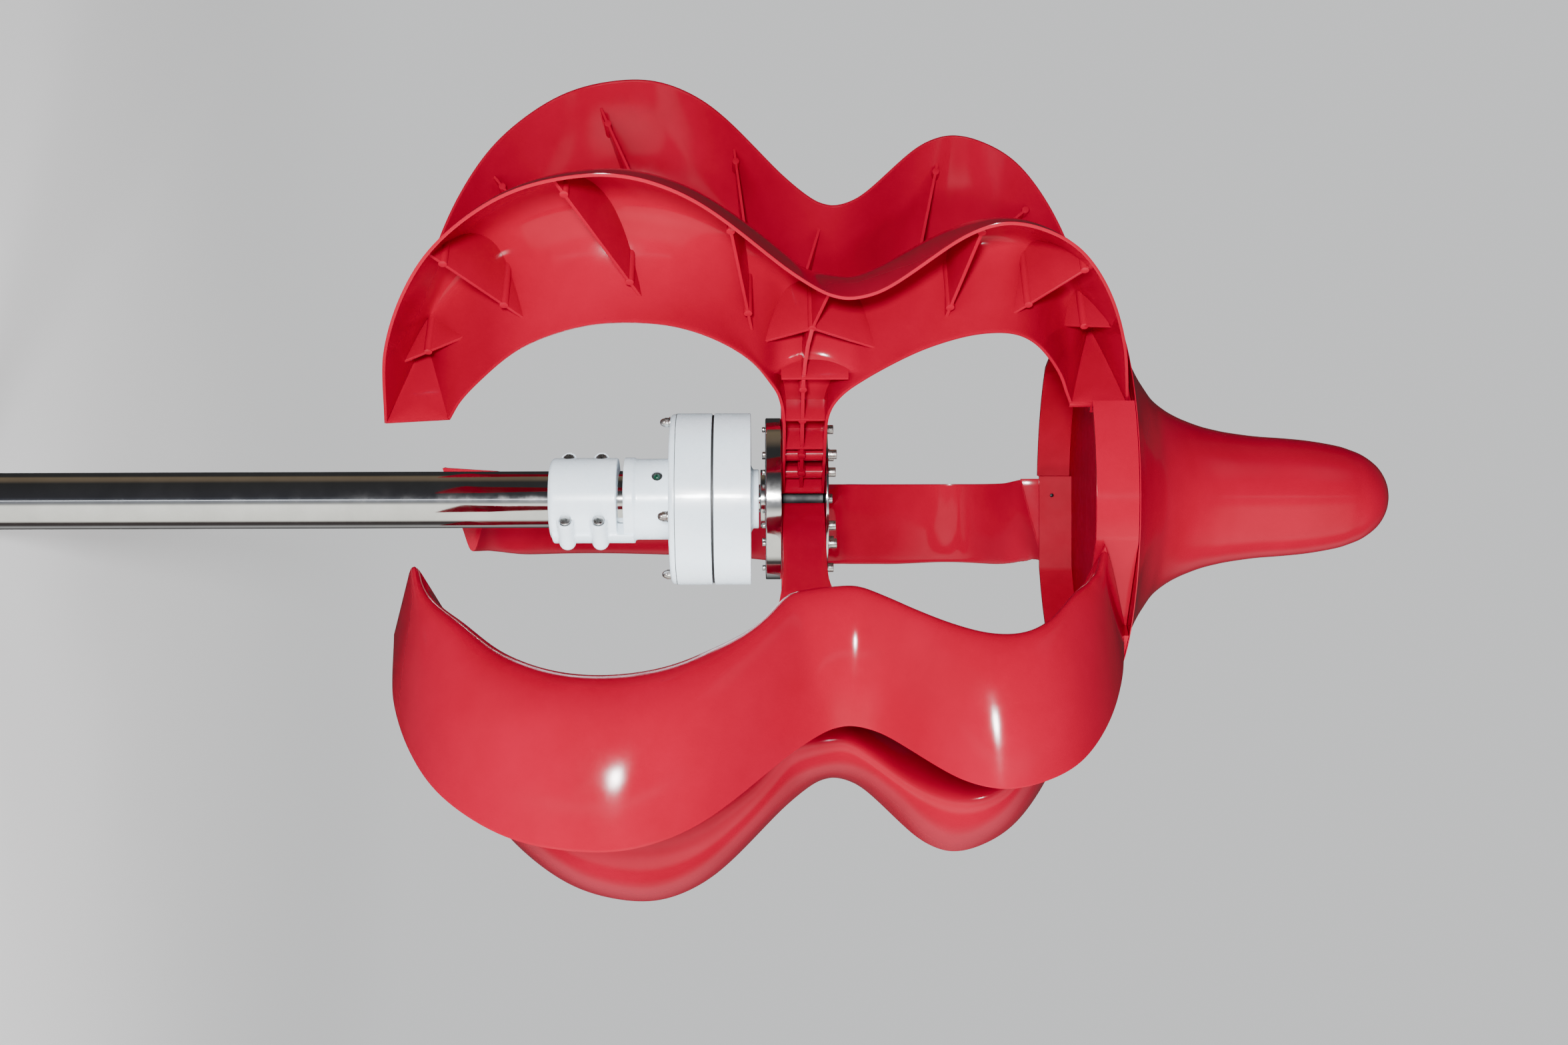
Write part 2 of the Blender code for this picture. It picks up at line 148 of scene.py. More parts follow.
# %% [markdown]
# Polished steel has no colour of its own and only shows what stands round it. So all rays but the camera's
# see a room instead of the plain surround: dark on one side, with tall bright windows on the other. The
# room could be a photograph wrapped round the scene, but a short row of tones is enough for tall bands on a
# round mast. Each row is a place on the way round the vertical axis, from 0 to 1, and its tone.

# %% The room's tones
PALE = (0.80, 0.81, 0.82)
ROOM = (
    (0.00, (0.05, 0.05, 0.05)), (0.17, (0.05, 0.05, 0.05)), (0.20, (0.26, 0.20, 0.13)),
    (0.25, (0.22, 0.17, 0.12)), (0.29, (0.05, 0.05, 0.05)),
    (0.46, (0.06, 0.06, 0.07)), (0.495, (0.12, 0.13, 0.16)), (0.499, (4.0, 4.2, 4.6)),
    (0.503, (0.35, 0.38, 0.44)), (0.535, (0.50, 0.51, 0.52)), (0.56, (2.20, 2.20, 2.05)),
    (0.75, (1.90, 1.90, 1.75)), (0.78, (0.10, 0.08, 0.08)), (0.83, (0.10, 0.09, 0.09)),
    (0.87, (0.70, 0.70, 0.70)), (0.93, (0.12, 0.12, 0.12)),
)
ROOM_STRENGTH = 0.70
POLE_TONE = (0.20, 0.19, 0.19)
POLE_FADE = (0.50, 0.85)

print("brightest tone in the room:", max(max(tone) for _, tone in ROOM))

# %% [markdown]
# The world's tree turns a ray's direction into its share of a full turn, and a colour ramp gives the tone
# there. The ramp's bands would meet in a point overhead and underfoot, so the room fades to one calm tone
# there. The camera itself sees a plain pale surround.

# %% The surround
world = bpy.data.worlds.new("surround")
bpy.context.scene.world = world
tree = node_tree_of(world)
split = new_node(tree, "ShaderNodeSeparateXYZ")
link(tree, new_node(tree, "ShaderNodeTexCoord"), "Generated", split, "Vector")
facing = math_node(tree, "MULTIPLY", split.outputs["Y"], -1.0)
turn = math_node(tree, "ARCTAN2", split.outputs["X"], facing)
share = math_node(tree, "MULTIPLY_ADD", turn, 0.5 / math.pi, 0.5)

room = new_node(tree, "ShaderNodeValToRGB")
tree.links.new(share, room.inputs["Fac"])
tones = room.color_ramp.elements
for end, position in ((0, 0.0), (1, 1.0)):
    tones[end].position = position
    tones[end].color = (*ROOM[0][1], 1)
for position, tone in ROOM[1:]:
    tones.new(position).color = (*tone, 1)

calm = new_node(tree, "ShaderNodeMapRange", ("From Min", POLE_FADE[0]), ("From Max", POLE_FADE[1]))
tree.links.new(math_node(tree, "ABSOLUTE", split.outputs["Z"]), calm.inputs["Value"])
blend = colour_mix(tree, ("B", (*POLE_TONE, 1)))
link(tree, calm, "Result", blend, "Factor")
link(tree, room, "Color", blend, "A")

lit = new_node(tree, "ShaderNodeBackground", ("Strength", ROOM_STRENGTH))
link(tree, blend, "Result", lit, "Color")
seen = new_node(tree, "ShaderNodeBackground", ("Color", (*PALE, 1)))
mix = new_node(tree, "ShaderNodeMixShader")
link(tree, new_node(tree, "ShaderNodeLightPath"), "Is Camera Ray", mix, "Fac")
link(tree, lit, "Background", mix, 1)
link(tree, seen, "Background", mix, 2)
link(tree, mix, "Shader", new_node(tree, "ShaderNodeOutputWorld"), "Surface")
print("surround:", len(tones), "tones round the room")

# %% [markdown]
# The stage is a pale floor that melts into the pale surround. Near the turbine the floor is ordinary matt
# paint that takes soft shadows. Further out it turns step by step into a glow of the surround's own tone, so
# that no horizon line shows behind the part. Mirrored rays pass through the floor to the room.

# %% The floor's paint
FLOOR_FADE = (0.35, 2.4)

floor_paint = bpy.data.materials.new("floor_paint")
tree = node_tree_of(floor_paint)
distance = new_node(tree, "ShaderNodeVectorMath")
distance.operation = "LENGTH"
link(tree, new_node(tree, "ShaderNodeTexCoord"), "Object", distance, "Vector")
fade = new_node(tree, "ShaderNodeMapRange", ("From Min", FLOOR_FADE[0]), ("From Max", FLOOR_FADE[1]))
fade.interpolation_type = "SMOOTHSTEP"
link(tree, distance, "Value", fade, "Value")

far = new_node(tree, "ShaderNodeMixShader")
link(tree, fade, "Result", far, "Fac")
link(tree, new_node(tree, "ShaderNodeBsdfDiffuse", ("Color", (*PALE, 1))), "BSDF", far, 1)
link(tree, new_node(tree, "ShaderNodeEmission", ("Color", (*PALE, 1))), "Emission", far, 2)
passed = new_node(tree, "ShaderNodeMixShader")
link(tree, new_node(tree, "ShaderNodeLightPath"), "Is Glossy Ray", passed, "Fac")
link(tree, far, "Shader", passed, 1)
link(tree, new_node(tree, "ShaderNodeBsdfTransparent"), "BSDF", passed, 2)
link(tree, passed, "Shader", new_node(tree, "ShaderNodeOutputMaterial"), "Surface")
print("floor paint:", len(tree.nodes), "nodes")

# %% [markdown]
# The floor itself is one large flat grid.

# %% The floor
FLOOR_REACH = 60.0

bm = bmesh.new()
bmesh.ops.create_grid(bm, x_segments=2, y_segments=2, size=FLOOR_REACH)
floor_mesh = bpy.data.meshes.new("floor")
bm.to_mesh(floor_mesh)
bm.free()
floor_mesh.materials.append(floor_paint)
floor = bpy.data.objects.new("floor", floor_mesh)
bpy.context.scene.collection.objects.link(floor)
print("floor ready")

# %% [markdown]
# Five soft lights. The key light is small and stands just behind the camera, because in the photograph
# a thin bright line runs along the very middle of the mast. A panel above, two at the side and one behind
# keep the backs of the scoops readable without hard shadows. They only fill, so mirrored rays pass them by.


# %% The lights
def soft_light(name, at, target, size, power, tint=(1, 1, 1), mirrored=True):
    """A rectangular lamp that faces its target."""
    data = bpy.data.lights.new(name, "AREA")
    data.shape = "RECTANGLE"
    data.size, data.size_y = size
    data.energy = power
    data.color = tint
    made = bpy.data.objects.new(name, data)
    made.location = at
    made.rotation_euler = (Vector(target) - Vector(at)).to_track_quat("-Z", "Y").to_euler()
    made.visible_glossy = mirrored
    bpy.context.scene.collection.objects.link(made)
    return made


HUB_AT = (0, 0, 0.75)
soft_light("key", (-0.10, -1.95, 0.64), HUB_AT, (0.15, 0.15), 68)
soft_light("panel_above", (-1.5, -1.1, 2.4), HUB_AT, (1.0, 0.7), 16, mirrored=False)
soft_light("panel_side", (1.8, -1.7, 0.9), HUB_AT, (0.9, 1.6), 62, mirrored=False)
soft_light("panel_edge", (2.2, -0.3, 0.85), HUB_AT, (0.8, 1.2), 40, mirrored=False)
soft_light("panel_behind", (-0.8, 2.3, 1.6), HUB_AT, (1.6, 1.2), 20, mirrored=False)

# %% [markdown]
# No real surface is one even colour. Two small node groups give every finish its unevenness. The first
# makes soft blotches, where hands and handling have changed the gloss: a noise whose middle range is spread
# over the two values that the finish asks for. It reads object coordinates, so that the pattern stays on the
# piece at its real scale.


# %% A node group for soft blotches
def new_group(name, inputs, outputs):
    """An empty group with named sockets, and its input and output nodes."""
    group = bpy.data.node_groups.new(name, "ShaderNodeTree")
    for label, kind, value in inputs:
        socket = group.interface.new_socket(name=label, in_out="INPUT", socket_type=kind)
        socket.default_value = value
    for label, kind in outputs:
        group.interface.new_socket(name=label, in_out="OUTPUT", socket_type=kind)
    return group, group.nodes.new("NodeGroupInput"), group.nodes.new("NodeGroupOutput")


blotches, given, result = new_group(
    "handling_blotches",
    [("Scale", "NodeSocketFloat", 30.0), ("Low", "NodeSocketFloat", 0.0), ("High", "NodeSocketFloat", 1.0)],
    [("Value", "NodeSocketFloat")],
)
cloud = new_node(blotches, "ShaderNodeTexNoise", ("Detail", 5.0), ("Roughness", 0.62))
spread = new_node(blotches, "ShaderNodeMapRange", ("From Min", 0.35), ("From Max", 0.68))
link(blotches, new_node(blotches, "ShaderNodeTexCoord"), "Object", cloud, "Vector")
link(blotches, given, "Scale", cloud, "Scale")
link(blotches, cloud, "Fac", spread, "Value")
link(blotches, given, "Low", spread, "To Min")
link(blotches, given, "High", spread, "To Max")
link(blotches, spread, "Result", result, "Value")
print("group:", blotches.name)

# %% [markdown]
# The second group makes the fine bumps of a moulded or sprayed skin and puts out a normal. A moulded part
# carries the mould's own grain and sprayed powder dries to a fine orange peel, so both are a small noise
# and differ only in scale and height.

# %% A node group for a skin's bumps
skin, given, result = new_group(
    "skin_bumps",
    [("Scale", "NodeSocketFloat", 400.0), ("Height", "NodeSocketFloat", 0.1)],
    [("Normal", "NodeSocketVector")],
)
grain = new_node(skin, "ShaderNodeTexNoise", ("Detail", 2.0))
bump = new_node(skin, "ShaderNodeBump", ("Distance", 0.0002))
link(skin, new_node(skin, "ShaderNodeTexCoord"), "Object", grain, "Vector")
link(skin, given, "Scale", grain, "Scale")
link(skin, grain, "Fac", bump, "Height")
link(skin, given, "Height", bump, "Strength")
link(skin, bump, "Normal", result, "Normal")
print("group:", skin.name)

# %% [markdown]
# Every finish is a Principled shader with its own gloss. Colour, roughness and bumps vary through the two
# groups, and the marks in the gloss are finer than those in the colour. What is the same all over stays on
# the shader's own socket.

# %% A helper that makes one finish
COAT_ROUGH = 0.06
MARKS_FINER = 2.7


def placed(tree, group, *values):
    """A node group put into a tree, with its own values."""
    made = tree.nodes.new("ShaderNodeGroup")
    made.node_tree = group
    return set_inputs(made, values)


def finish(name, dark, light, rough, metallic=0.0, blotch=30.0, grain=400.0, height=0.1, coat=0.0, gloss=0.5):
    """A finish whose colour runs between dark and light, and whose roughness runs between two values."""
    made = bpy.data.materials.new(name)
    tree = node_tree_of(made)
    shader = new_node(
        tree, "ShaderNodeBsdfPrincipled", ("Metallic", metallic), ("Coat Weight", coat),
        ("Coat Roughness", COAT_ROUGH), ("Specular IOR Level", gloss),
    )
    colours = colour_mix(tree, ("A", (*dark, 1)), ("B", (*light, 1)))
    marks = placed(tree, blotches, ("Scale", blotch * MARKS_FINER), ("Low", rough[0]), ("High", rough[1]))
    bumps = placed(tree, skin, ("Scale", grain), ("Height", height))
    link(tree, placed(tree, blotches, ("Scale", blotch)), "Value", colours, "Factor")
    link(tree, colours, "Result", shader, "Base Color")
    link(tree, marks, "Value", shader, "Roughness")
    link(tree, bumps, "Normal", shader, "Normal")
    link(tree, shader, "BSDF", new_node(tree, "ShaderNodeOutputMaterial"), "Surface")
    return made


print("helper for finishes ready")

# %% [markdown]
# The blades, the ring and the nose are moulded in crimson nylon, which is glossy outside and matt where the
# mould was left rough. The generator and the sleeve have a cool white powder coat with a faint clear gloss
# over it. These are no metals, so their colour is in the body of the material.

# %% Nylon and powder coat
CRIMSON = finish(
    "crimson_nylon", (0.25, 0.0002, 0.0130), (0.29, 0.0004, 0.0170), (0.10, 0.18),
    blotch=9.0, grain=260.0, height=0.04, gloss=0.20,
)
MATT_CRIMSON = finish(
    "crimson_nylon_matt", (0.22, 0.0002, 0.0100), (0.27, 0.0004, 0.0140), (0.45, 0.60),
    blotch=14.0, grain=420.0, height=0.10, gloss=0.08,
)
WHITE = finish(
    "white_powder_coat", (0.75, 0.87, 0.96), (0.80, 0.90, 0.98), (0.22, 0.34),
    blotch=25.0, grain=900.0, height=0.12, coat=0.15,
)
print("finishes:", [m.name for m in (CRIMSON, MATT_CRIMSON, WHITE)])

# %% [markdown]
# The mast, the flange and the disc are polished stainless steel, the fasteners are a little duller and the
# foot is zinc-plated. A metal has no colour under its surface, so Metallic is 1 and the colour tints what it
# mirrors. The dark seal, the green plug and the shadows in its hole complete the set.

# %% Metals and small parts
POLISHED = finish(
    "polished_stainless", (0.68, 0.68, 0.67), (0.80, 0.80, 0.79), (0.05, 0.13),
    metallic=1.0, blotch=18.0, grain=500.0, height=0.02,
)
BRIGHT = finish(
    "bright_fastener_steel", (0.56, 0.55, 0.53), (0.72, 0.71, 0.69), (0.22, 0.38),
    metallic=1.0, blotch=160.0, grain=1500.0, height=0.05,
)
ZINC = finish(
    "zinc_plate", (0.42, 0.43, 0.44), (0.58, 0.59, 0.60), (0.32, 0.50),
    metallic=1.0, blotch=45.0, grain=700.0, height=0.10,
)
SEAL = finish("black_seal", (0.010, 0.010, 0.011), (0.022, 0.022, 0.024), (0.45, 0.65), blotch=80.0)
GREEN = finish(
    "green_plug", (0.002, 0.030, 0.016), (0.006, 0.075, 0.040), (0.10, 0.22), blotch=300.0, coat=0.6,
)
# A near-black steel is painted shade: the hub's core deep between the arms and the screw ends inside the ring
# get it.
SHADE_DARK_STEEL = finish(
    "steel_darkened_as_shade", (0.010, 0.010, 0.011), (0.018, 0.018, 0.018), (0.36, 0.46),
    metallic=1.0, blotch=50.0, height=0.01,
)
# The dark socket finish is painted shadow for the floor of the plug's hole.
SHADOW = finish("painted_socket_shadow", (0.012, 0.012, 0.013), (0.030, 0.030, 0.032), (0.40, 0.60), blotch=200.0)
print("finishes:", [m.name for m in (POLISHED, BRIGHT, ZINC, SEAL, GREEN, SHADE_DARK_STEEL, SHADOW)])

# %% [markdown]
# Each piece ends in the same way. Its bmesh becomes an object, which is shaded smooth up to an angle, gets
# its looks, rides on the body that carries it, and takes the place of the plain node that it refines. On
# a piece with large flat faces, weighted normals keep those faces flat in the light beside their bevels.


# %% Helpers that put a piece in the scene
def put(name, bm, looks, body, replaces=(), smooth=40.0):
    """Makes the object from the bmesh, shades it smooth and lets it ride on its body."""
    mesh = bpy.data.meshes.new(name)
    bm.to_mesh(mesh)
    bm.free()
    mesh.shade_smooth()
    mesh.set_sharp_from_angle(angle=math.radians(smooth))
    for look in looks:
        mesh.materials.append(look)
    made = bpy.data.objects.new(name, mesh)
    bpy.context.scene.collection.objects.link(made)
    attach(made, body)
    if replaces:
        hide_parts(*replaces)
    return made


def even_normals(made):
    """Keeps large faces flat in the light beside their small bevels."""
    even = made.modifiers.new("even_normals", "WEIGHTED_NORMAL")
    even.keep_sharp = True
    return made


print("helpers for pieces ready")

# %% [markdown]
# Most still pieces are round, so they are turned, as on a lathe: a few points give half of the outline, and
# the spin operator sweeps it about the axis. A bevel then breaks the sharp edges, because an edge
# without a radius never catches the light.


# %% Helpers for turned pieces
def sharp_edges(bm, degrees=30.0):
    low = math.radians(degrees)
    return [e for e in bm.edges if len(e.link_faces) == 2 and e.calc_face_angle() > low]


def bevel(bm, width, segments=2, edges=None):
    bmesh.ops.bevel(
        bm, geom=edges or sharp_edges(bm), offset=width, offset_type="OFFSET", affect="EDGES",
        segments=segments, profile=0.5, material=-1, clamp_overlap=True,
    )


def turned(outline, steps=128, closed=True):
    """A bmesh spun about Z from (r, z) points. The outline runs round the whole section."""
    bm = bmesh.new()
    points = [bm.verts.new((r, 0, z)) for r, z in outline]
    pairs = list(zip(points, points[1:]))
    if closed:
        pairs.append((points[-1], points[0]))
    edges = [bm.edges.new(pair) for pair in pairs]
    bmesh.ops.spin(
        bm, geom=points + edges, cent=(0, 0, 0), axis=(0, 0, 1), angle=2 * math.pi,
        steps=steps, use_merge=True, use_duplicate=False,
    )
    bmesh.ops.remove_doubles(bm, verts=bm.verts[:], dist=1e-6)
    bmesh.ops.dissolve_degenerate(bm, edges=bm.edges[:], dist=1e-7)
    bmesh.ops.recalc_face_normals(bm, faces=bm.faces[:])
    return bm


def turned_disc(radius, low, high, steps=128):
    """A plain round plate between two heights."""
    return turned([(0, low), (radius, low), (radius, high), (0, high)], steps, closed=False)


print("helpers for turned pieces ready")

# %% [markdown]
# The mast is a plain polished tube with a small chamfer at its ends. Its outline is closed, because the
# tube is hollow and has a wall inside as well as outside.

# %% Mast tube
TUBE_WALL = 0.003

bm = turned([
    (MAST_R - TUBE_WALL, MAST_LOW), (MAST_R, MAST_LOW), (MAST_R, MAST_TOP), (MAST_R - TUBE_WALL, MAST_TOP),
], steps=160)
bevel(bm, width=0.0006)
print("mast:", len(bm.faces), "faces")
even_normals(put("mast_tube_fine", bm, [POLISHED], "mast", ["mast_tube"]))

# %% [markdown]
# Holes and lugs need Booleans. The Boolean is a modifier, so a cutter has to be an object for a moment. The
# helpers below make such rough objects, apply the modifiers, and throw the rough objects away again.


# %% Helpers for Booleans
def settled(made):
    """The object's mesh with its modifiers applied, as a bmesh."""
    bpy.context.view_layer.update()
    graph = bpy.context.evaluated_depsgraph_get()
    mesh = bpy.data.meshes.new_from_object(made.evaluated_get(graph), depsgraph=graph)
    bm = bmesh.new()
    bm.from_mesh(mesh)
    bpy.data.meshes.remove(mesh)
    return bm


def rough_object(name, bm):
    mesh = bpy.data.meshes.new(name)
    bm.to_mesh(mesh)
    bm.free()
    made = bpy.data.objects.new(name, mesh)
    bpy.context.scene.collection.objects.link(made)
    return made


def carved(bm, cuts, joins=()):
    """The shape of bm with every shape in joins added and every shape in cuts taken away."""
    body = rough_object("carved_body", bm)
    others = []
    for operation, shapes in (("UNION", joins), ("DIFFERENCE", cuts)):
        for shape in shapes:
            other = rough_object("carver", shape)
            step = body.modifiers.new(operation.title(), "BOOLEAN")
            step.operation = operation
            step.object = other
            others.append(other)
    made = settled(body)
    for other in [body, *others]:
        bpy.data.objects.remove(other)
    return made


print("helpers for Booleans ready")

# %% [markdown]
# The mast stands on a round foot plate with four bolt holes. The plate is turned, and four rods take the
# holes out. A rod is a capped cylinder, and a matrix says where it stands.

# %% Foot plate
FOOT_R, FOOT_LOW, FOOT_TOP = span("mast_foot")
FOOT_HOLES = 4
FOOT_HOLE_R = 0.0055
FOOT_HOLE_CIRCLE = 0.056


def rod(radius, length, place, segments=32):
    """A capped cylinder along the local Z of place, centred on it."""
    bm = bmesh.new()
    bmesh.ops.create_cone(
        bm, cap_ends=True, segments=segments, radius1=radius, radius2=radius, depth=length, matrix=place
    )
    return bm


def turn_z(degrees):
    return Matrix.Rotation(math.radians(degrees), 4, "Z")


holes = [
    rod(FOOT_HOLE_R, 0.05, turn_z(45 + 360 / FOOT_HOLES * i) @ Matrix.Translation((FOOT_HOLE_CIRCLE, 0, 0)))
    for i in range(FOOT_HOLES)
]
bm = carved(turned_disc(FOOT_R, FOOT_LOW, FOOT_TOP), holes)
bevel(bm, width=0.0008)
print("foot:", len(bm.faces), "faces,", len(holes), "holes")
even_normals(put("mast_foot_fine", bm, [ZINC], "mast", ["mast_foot"]))

# %% [markdown]
# A weld runs round the joint between tube and plate. Its section is a quarter round, and the spin makes a
# smooth bead of it. A real bead is laid drop by drop, so the corners away from the mast then move out and in
# in sixty ripples.

# %% Weld round the foot
WELD_R = 0.0032
WELD_STEPS = 7
RIPPLES = 60
RIPPLE_SHARE = 0.10

angles = [math.pi / 2 * i / (WELD_STEPS - 1) for i in range(WELD_STEPS)]
section = [(MAST_R + WELD_R * math.sin(a), FOOT_TOP + WELD_R * math.cos(a)) for a in angles]
bm = turned([*section, (MAST_R, FOOT_TOP)], steps=4 * RIPPLES)
for v in bm.verts:
    turn = math.atan2(v.co.y, v.co.x)
    away = math.hypot(v.co.x, v.co.y) - MAST_R
    swell = 1 + RIPPLE_SHARE * math.sin(RIPPLES * turn)
    if away > 10 * TINY:
        reach = (MAST_R + away * swell) / (MAST_R + away)
        v.co.x *= reach
        v.co.y *= reach
bmesh.ops.recalc_face_normals(bm, faces=bm.faces[:])
print("weld:", len(bm.faces), "faces")
put("foot_weld", bm, [ZINC], "mast")

# %% [markdown]
# The clamp sleeve is a casting: every corner is soft. Bevels would fail where lugs and ridge run into each
# other. So a voxel remesh turns the rough shape into one even skin, and a few rounds of smoothing give the
# rounded corners that a casting under powder coat has.

# %% A helper that makes a casting's skin
VOXEL = 0.0008


def soft_skin(bm, rounds):
    """Remeshes a rough closed shape to an even skin and smooths it."""
    rough = rough_object("rough_casting", bm)
    step = rough.modifiers.new("even_skin", "REMESH")
    step.mode = "VOXEL"
    step.voxel_size = VOXEL
    made = settled(rough)
    bpy.data.objects.remove(rough)
    for _ in range(rounds):
        bmesh.ops.smooth_vert(
            made, verts=made.verts[:], factor=0.5, use_axis_x=True, use_axis_y=True, use_axis_z=True
        )
    return made


print(f"a casting's skin has cells of {VOXEL / MM:.1f} mm")

# %% [markdown]
# A thicker ridge on one side of the sleeve runs on over the neck's collar. It is a part of a thick tube's
# wall: a rectangle is spun through a part of a full turn only.

# %% The sleeve's ridge
SLEEVE_LOW, SLEEVE_TOP = span("clamp_sleeve")[1:]
RIDGE_R = 0.0394
RIDGE_LOW = SLEEVE_LOW + 0.002
RIDGE_TOP = 0.6170
RIDGE_HALF_ANGLE = 34


def sector(radius_in, radius_out, low, high, half_angle):
    """A piece of thick tube wall between two heights, centred on the X axis."""
    bm = bmesh.new()
    corners = [(radius_in, low), (radius_out, low), (radius_out, high), (radius_in, high)]
    points = [bm.verts.new((r, 0, z)) for r, z in corners]
    face = bm.faces.new(points)
    start = Matrix.Rotation(math.radians(-half_angle), 3, "Z")
    bmesh.ops.rotate(bm, verts=points, cent=(0, 0, 0), matrix=start)
    bmesh.ops.spin(
        bm, geom=[face, *face.edges, *face.verts], cent=(0, 0, 0), axis=(0, 0, 1),
        angle=math.radians(2 * half_angle), steps=24, use_duplicate=False,
    )
    bmesh.ops.recalc_face_normals(bm, faces=bm.faces[:])
    return bm


joins = [sector(MAST_R, RIDGE_R, RIDGE_LOW, RIDGE_TOP, RIDGE_HALF_ANGLE)]
print("ridge:", len(joins[0].faces), "faces")

# %% [markdown]
# Two pairs of bolt lugs bulge out of the sleeve on opposite sides. A lug is a rod with a ball at its far
# end, and a pocket sinks the screw's head into its near end. A lug is given by its azimuth, its distance
# from the axis and the side that its far end is on.

# %% The sleeve's lugs
LUGS = ((322.0, 0.0365, 1), (150.0, 0.0332, -1))
LUG_ZS = (0.5570, 0.5865)
LUG_R = 0.0076
LUG_LENGTH = 0.030
POCKET_R = 0.0058
POCKET_LENGTH = 0.03
POCKET_MIDDLE = 0.0262


def lug_place(azimuth, reach, side, along, z):
    """A spot on a lug's bolt axis, which runs along the tangent. Its +Z points to the photographed side."""
    spot = Matrix.Translation((reach, -side * along, z))
    return turn_z(azimuth) @ spot @ Matrix.Rotation(side * math.pi / 2, 4, "X")


pockets = []
for azimuth, reach, side in LUGS:
    for z in LUG_ZS:
        joins.append(rod(LUG_R, LUG_LENGTH, lug_place(azimuth, reach, side, 0, z)))
        ball = bmesh.new()
        far_end = lug_place(azimuth, reach, side, -LUG_LENGTH / 2, z)
        bmesh.ops.create_icosphere(ball, subdivisions=4, radius=LUG_R, matrix=far_end)
        joins.append(ball)
        pockets.append(rod(POCKET_R, POCKET_LENGTH, lug_place(azimuth, reach, side, POCKET_MIDDLE, z)))
print("lugs:", len(pockets))

# %% [markdown]
# The sleeve's body is turned from a little inside the mast, so that the bore cuts it clean. Ridge and lugs
# are joined to it, the skin is made soft, and the pockets are cut last, because a machined pocket is sharp.

# %% Clamp sleeve
SLEEVE_BODY_R = 0.0372
SLEEVE_CHAMFER = 0.003
INSIDE_MAST = 0.002
BORE_CLEARANCE = 0.0003
BORE_LENGTH = 0.2

body = turned([
    (MAST_R - INSIDE_MAST, SLEEVE_LOW), (SLEEVE_BODY_R - SLEEVE_CHAMFER, SLEEVE_LOW),
    (SLEEVE_BODY_R, SLEEVE_LOW + SLEEVE_CHAMFER), (SLEEVE_BODY_R, SLEEVE_TOP),
    (MAST_R - INSIDE_MAST, SLEEVE_TOP),
], steps=96)
bore = rod(MAST_R + BORE_CLEARANCE, BORE_LENGTH, Matrix.Translation((0, 0, SLEEVE_LOW)), segments=96)
bm = carved(soft_skin(carved(body, [bore], joins), rounds=6), pockets)
print("sleeve:", len(bm.faces), "faces")
put("clamp_sleeve_cast", bm, [WHITE], "mast", ["clamp_sleeve"], smooth=50)

# %% [markdown]
# The fasteners are socket screws, dome nuts and washers. Each could be one object, but dozens of tiny
# objects make a scene slow to handle. So equal fasteners share one mesh, and a helper moves each small
# bmesh to its place and adds it to the whole.


# %% Helpers for fasteners
def add_to(whole, piece, place):
    """Moves a small piece to its place and adds it to a larger bmesh."""
    bmesh.ops.transform(piece, matrix=place, verts=piece.verts[:])
    mesh = bpy.data.meshes.new("piece")
    piece.to_mesh(mesh)
    piece.free()
    whole.from_mesh(mesh)
    bpy.data.meshes.remove(mesh)


def loop_of(bm, made):
    """The edges of a circle that an operator has just made."""
    chosen = set(made["verts"])
    return [e for e in bm.edges if all(v in chosen for v in e.verts)]


def lift(z):
    return Matrix.Translation((0, 0, z))


UPSIDE_DOWN = Matrix.Rotation(math.pi, 4, "X")
print("helpers for fasteners ready")

# %% [markdown]
# A screw's head is a short cylinder with a bevelled rim and a hexagonal pocket. The pocket's six-sided edge
# is bridged to the round rim, so that the face between them closes, and is then extruded down.

# %% A cap screw's head
POCKET_SHARE = 0.62
HEAD_ROUND_SHARE = 0.12


def socket_head(radius, height, socket):
    """A cap screw's head standing on the XY plane, with its hexagonal pocket on top."""
    bm = bmesh.new()
    base = loop_of(bm, bmesh.ops.create_circle(bm, cap_ends=True, segments=32, radius=radius))
    rim = loop_of(bm, bmesh.ops.create_circle(bm, segments=32, radius=radius, matrix=lift(height)))
    pocket = loop_of(bm, bmesh.ops.create_circle(bm, segments=6, radius=socket, matrix=lift(height)))
    bmesh.ops.bridge_loops(bm, edges=base + rim)
    bmesh.ops.bridge_loops(bm, edges=rim + pocket)
    grown = bmesh.ops.extrude_edge_only(bm, edges=pocket)
    bottom = [v for v in grown["geom"] if isinstance(v, bmesh.types.BMVert)]
    bmesh.ops.translate(bm, verts=bottom, vec=(0, 0, -height * POCKET_SHARE))
    bmesh.ops.contextual_create(bm, geom=bottom)
    bmesh.ops.recalc_face_normals(bm, faces=bm.faces[:])
    bevel(bm, radius * HEAD_ROUND_SHARE, 3, rim)
    return bm


CLAMP_HEAD_R = 0.0049
CLAMP_HEAD_HEIGHT = 0.0052
CLAMP_SOCKET_R = 0.0025
CLAMP_HEAD_AT = 0.0114

bm = bmesh.new()
for azimuth, reach, side in LUGS:
    for z in LUG_ZS:
        head = socket_head(CLAMP_HEAD_R, CLAMP_HEAD_HEIGHT, CLAMP_SOCKET_R)
        add_to(bm, head, lug_place(azimuth, reach, side, CLAMP_HEAD_AT, z))
print("clamp screws:", len(bm.faces), "faces")
put("clamp_screws", bm, [BRIGHT], "mast")

# %% [markdown]
# The neck carries the generator on the mast. Its collar has the same lip as the sleeve, and it is cast in
# the same way. A round hole on the photographed side takes the green plug.

